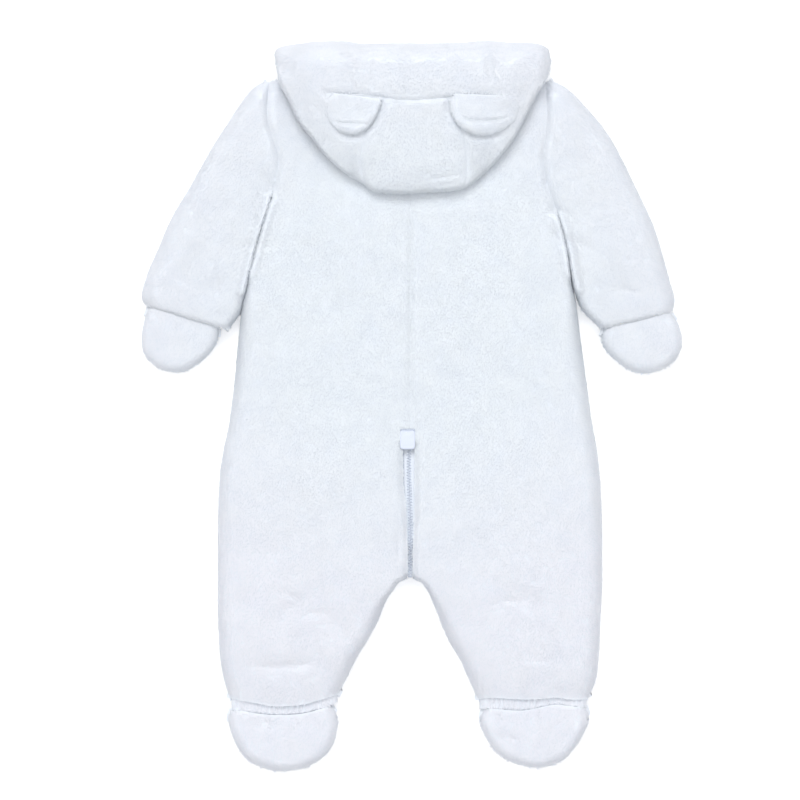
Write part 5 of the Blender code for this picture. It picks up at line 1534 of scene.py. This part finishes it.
def zip_coil():
    """Coil chain: slanted loops on each side of the middle line, half a pitch apart, each a
    bar of five sections that bends down at both ends."""
    path = zip_path(COIL_PITCH)[1:-1]
    ahead, out = zip_frames(path)
    share = np.linspace(0, 1, 5)
    aside = COIL_LOOP["reach"] * share + COIL_LOOP["inner"]
    rise = 0.35 + 0.55 * np.sin(math.pi * np.clip(share * 0.9 + 0.08, 0, 1))
    lines = []
    for away, shift in ((-1, 0.0), (1, 0.5)):
        start = path + ahead * COIL_PITCH * shift
        lines.append(start[:, None] + np.array([1.0, 0, 0]) * (away * aside)[None, :, None]
                     + ahead[:, None] * (COIL_LOOP["slant"] * share)[None, :, None]
                     + out[:, None] * rise[None, :, None])
    twice = [np.concatenate([axis, axis]) for axis in (ahead, out)]
    thick = COIL_RADIUS * np.array([0.5, 0.95, 1.0, 0.95, 0.5])
    obj = bars("zip_coil", np.concatenate(lines), *twice, thick)
    # The coil is darker than the tape: painted shade of the gaps between its loops
    obj.data.materials.append(
        thread_material("nylon_coil", 0.38, (0.62, 0.67, 0.77), (0.74, 0.79, 0.87)))
    return obj


def stitches(name, x, y, z, radius, tack):
    """A row of stitches: bars along lines of four points, thinner at their ends."""
    side_ways = [np.tile(axis, (len(x), 1)) for axis in ((1.0, 0.0, 0.0), (0.0, 0.0, 1.0))]
    obj = bars(name, np.stack([x, y, z], axis=-1), *side_ways, radius * STITCH_TAPER)
    obj.data.materials.append(tack)
    return obj


def tape_stitches(tack):
    """Row of stitches that hold the tape, along its left side in the open part of the zip."""
    y = np.arange(TAPE_ROW["high_y"], TAPE_ROW["low_y"], -TAPE_ROW["pitch"])
    rows = refined(ZIP_CENTRE, 12)
    share = np.linspace(-0.5, 0.5, 4)
    y = y[:, None] + share * (TAPE_ROW["pitch"] - 0.5)
    x = np.interp(-y, -rows["y"], rows["x"]) - TAPE_ROW["out"]
    z = np.broadcast_to(TAPE_ROW["z"] + 0.3 * np.cos(share * math.pi), x.shape)
    return stitches("tape_stitches", x, y, z, STITCH_RADIUS["tape"], tack)


def guard_stitches(tack):
    """Bar tack across the top of the guard: close stitches that slant to and fro."""
    across = np.linspace(-0.5, 0.5, TACK_STITCHES) * (GUARD["width"] - 1.0)
    slant = np.where(np.arange(TACK_STITCHES) % 2, 0.3, -0.3)
    share = np.linspace(-1, 1, 4)
    x = GUARD["x"] + across[:, None] + slant[:, None] * share
    y = np.broadcast_to(GUARD["y"] + GUARD["height"] / 2 - 0.6 + 1.3 * share, x.shape)
    z = np.broadcast_to(GUARD["rest_z"] + 0.9 + 0.5 * np.cos(share * math.pi / 2), x.shape)
    return stitches("guard_stitches", x, y, z, STITCH_RADIUS["guard"], tack)


def zip_pieces():
    """Everything of the zip's back: tape, coil, guard tab and their stitches."""
    tack = thread_material("sewing_thread", 0.55, (0.58, 0.64, 0.76), (0.68, 0.74, 0.85))
    tape, guard = zip_tape(), zip_guard()
    with_tape, with_guard = [zip_coil(), tape_stitches(tack)], [guard_stitches(tack)]
    for slot, pieces in (("zip_tape", [tape, *with_tape]), ("guard_cloth", [guard, *with_guard])):
        for piece in pieces:
            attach(piece, SUIT)
    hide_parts("zip_strip")
    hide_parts("zip_guard")
    return tape, with_tape, guard, with_guard


def zip_guard():
    """Plain cloth tab over the top of the zip: a plate whose outline is a rounded rectangle
    (a superellipse of power 6), with a top that swells a little towards the middle and a sewn
    line sunk along its hem."""
    turn = np.linspace(0, 2 * math.pi, 96, endpoint=False)
    shape = np.stack([np.sign(wave) * np.abs(wave) ** (1 / 3)
                      for wave in (np.cos(turn), np.sin(turn))], axis=1)
    half = np.array([GUARD["width"], GUARD["height"]]) / 2
    share = np.cos(np.linspace(0, math.pi / 2, 13))[:-1]
    plan = np.array([GUARD["x"], GUARD["y"]]) + shape[None] * half * share[:, None, None]
    away = (1 - share)[:, None] * GUARD["width"] / 2
    crumple = 0.18 * noise(lifted(plan, 0.0), 4.0, 41)
    swell = (GUARD["thick"] - GUARD["edge"]) * dome(away, 1.6)
    top = GUARD["rest_z"] + GUARD["edge"] + swell + crumple * dome(away, 3.0)
    top -= groove(np.abs(away - GUARD["hem"]), 0.35, 0.35)
    under = lifted(plan, GUARD["rest_z"])
    obj = solid_mesh("guard_tab", *wall(lifted(plan, top), under, around=True))
    obj.data.materials.append(
        woven_material("guard_weave", (0.80, 0.85, 0.97), (0.72, 0.78, 0.92), 520.0))
    return obj


# ----------------------------------------------------------------- the scene

CAMERA_HEIGHT = 7.0
VIEW_SIDE = 0.680
VIEW_CENTRE = (-0.0100, 0.0038)
SENSOR = 36.0
OUTLINE_Z = 0.016      # height of the garment's outline, which sets the scale
FLOOR_HALF = 3000.0
FLOOR_Z = -0.4
SKY = ((0.985, 0.995, 1.01), 0.42)
# Name, strength, spread and tilt from straight above, in degrees
LIGHTS = (("soft_key", 1.66, 84, -6), ("head_light", 0.84, 26, -36))
LIGHT_ROLL = -3


def camera():
    """Straight above, so far that higher parts don't spread, with a long lens."""
    data = bpy.data.cameras.new("camera")
    data.sensor_width = SENSOR
    data.lens = SENSOR * (CAMERA_HEIGHT - OUTLINE_Z) / VIEW_SIDE
    data.clip_end = 50.0
    obj = bpy.data.objects.new("camera", data)
    obj.location = (*VIEW_CENTRE, CAMERA_HEIGHT)
    bpy.context.scene.collection.objects.link(obj)
    bpy.context.scene.camera = obj


def studio():
    """Pale table that glows a little, an even sky, and two suns: a very broad one from almost
    straight above and a smaller one from the head's side."""
    ends = [-FLOOR_HALF, FLOOR_HALF]
    corners = lifted(np.stack(np.meshgrid(ends, ends, indexing="ij"), axis=-1), FLOOR_Z)
    floor = loose_mesh("floor", corners.reshape(-1, 3), [np.array([[0, 2, 3, 1]])])
    made = bpy.data.materials.new("pale_table")
    made.use_nodes = True
    shader = made.node_tree.nodes["Principled BSDF"]
    shader.inputs["Base Color"].default_value = (0.93, 0.93, 0.93, 1.0)
    shader.inputs["Roughness"].default_value = 0.8
    shader.inputs["Emission Color"].default_value = (1.0, 1.0, 1.0, 1.0)
    shader.inputs["Emission Strength"].default_value = 0.3
    floor.data.materials.append(made)

    world = bpy.data.worlds.new("studio")
    world.use_nodes = True
    sky = world.node_tree.nodes["Background"]
    colour, strength = SKY
    sky.inputs["Color"].default_value = (*colour, 1.0)
    sky.inputs["Strength"].default_value = strength
    bpy.context.scene.world = world

    for name, energy, spread, tilt in LIGHTS:
        sun = bpy.data.lights.new(name, "SUN")
        sun.energy = energy
        sun.angle = math.radians(spread)
        lamp = bpy.data.objects.new(name, sun)
        lamp.rotation_euler = (math.radians(tilt), math.radians(LIGHT_ROLL), 0.0)
        bpy.context.scene.collection.objects.link(lamp)
    bpy.context.scene.view_settings.view_transform = "Standard"


# ---------------------------------------------------------------- everything

for side in ("left", "right"):
    back_panel(side)
    front_panel(side)
    throat(side)
    mitten(side)
    foot(side)
    ankle_band(side)
    sleeve(side)
    ear(side)
hood_nape()
hood_crown()
tape, with_tape, guard, with_guard = zip_pieces()

for name, (cloth, fur) in PIECES.items():
    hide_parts(name)

enamel = enamel_material()
for name in ("zip_slider", "zip_pull"):
    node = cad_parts[name]
    for k in range(len(node.material_slots)):
        node.material_slots[k].material = enamel

camera()
studio()
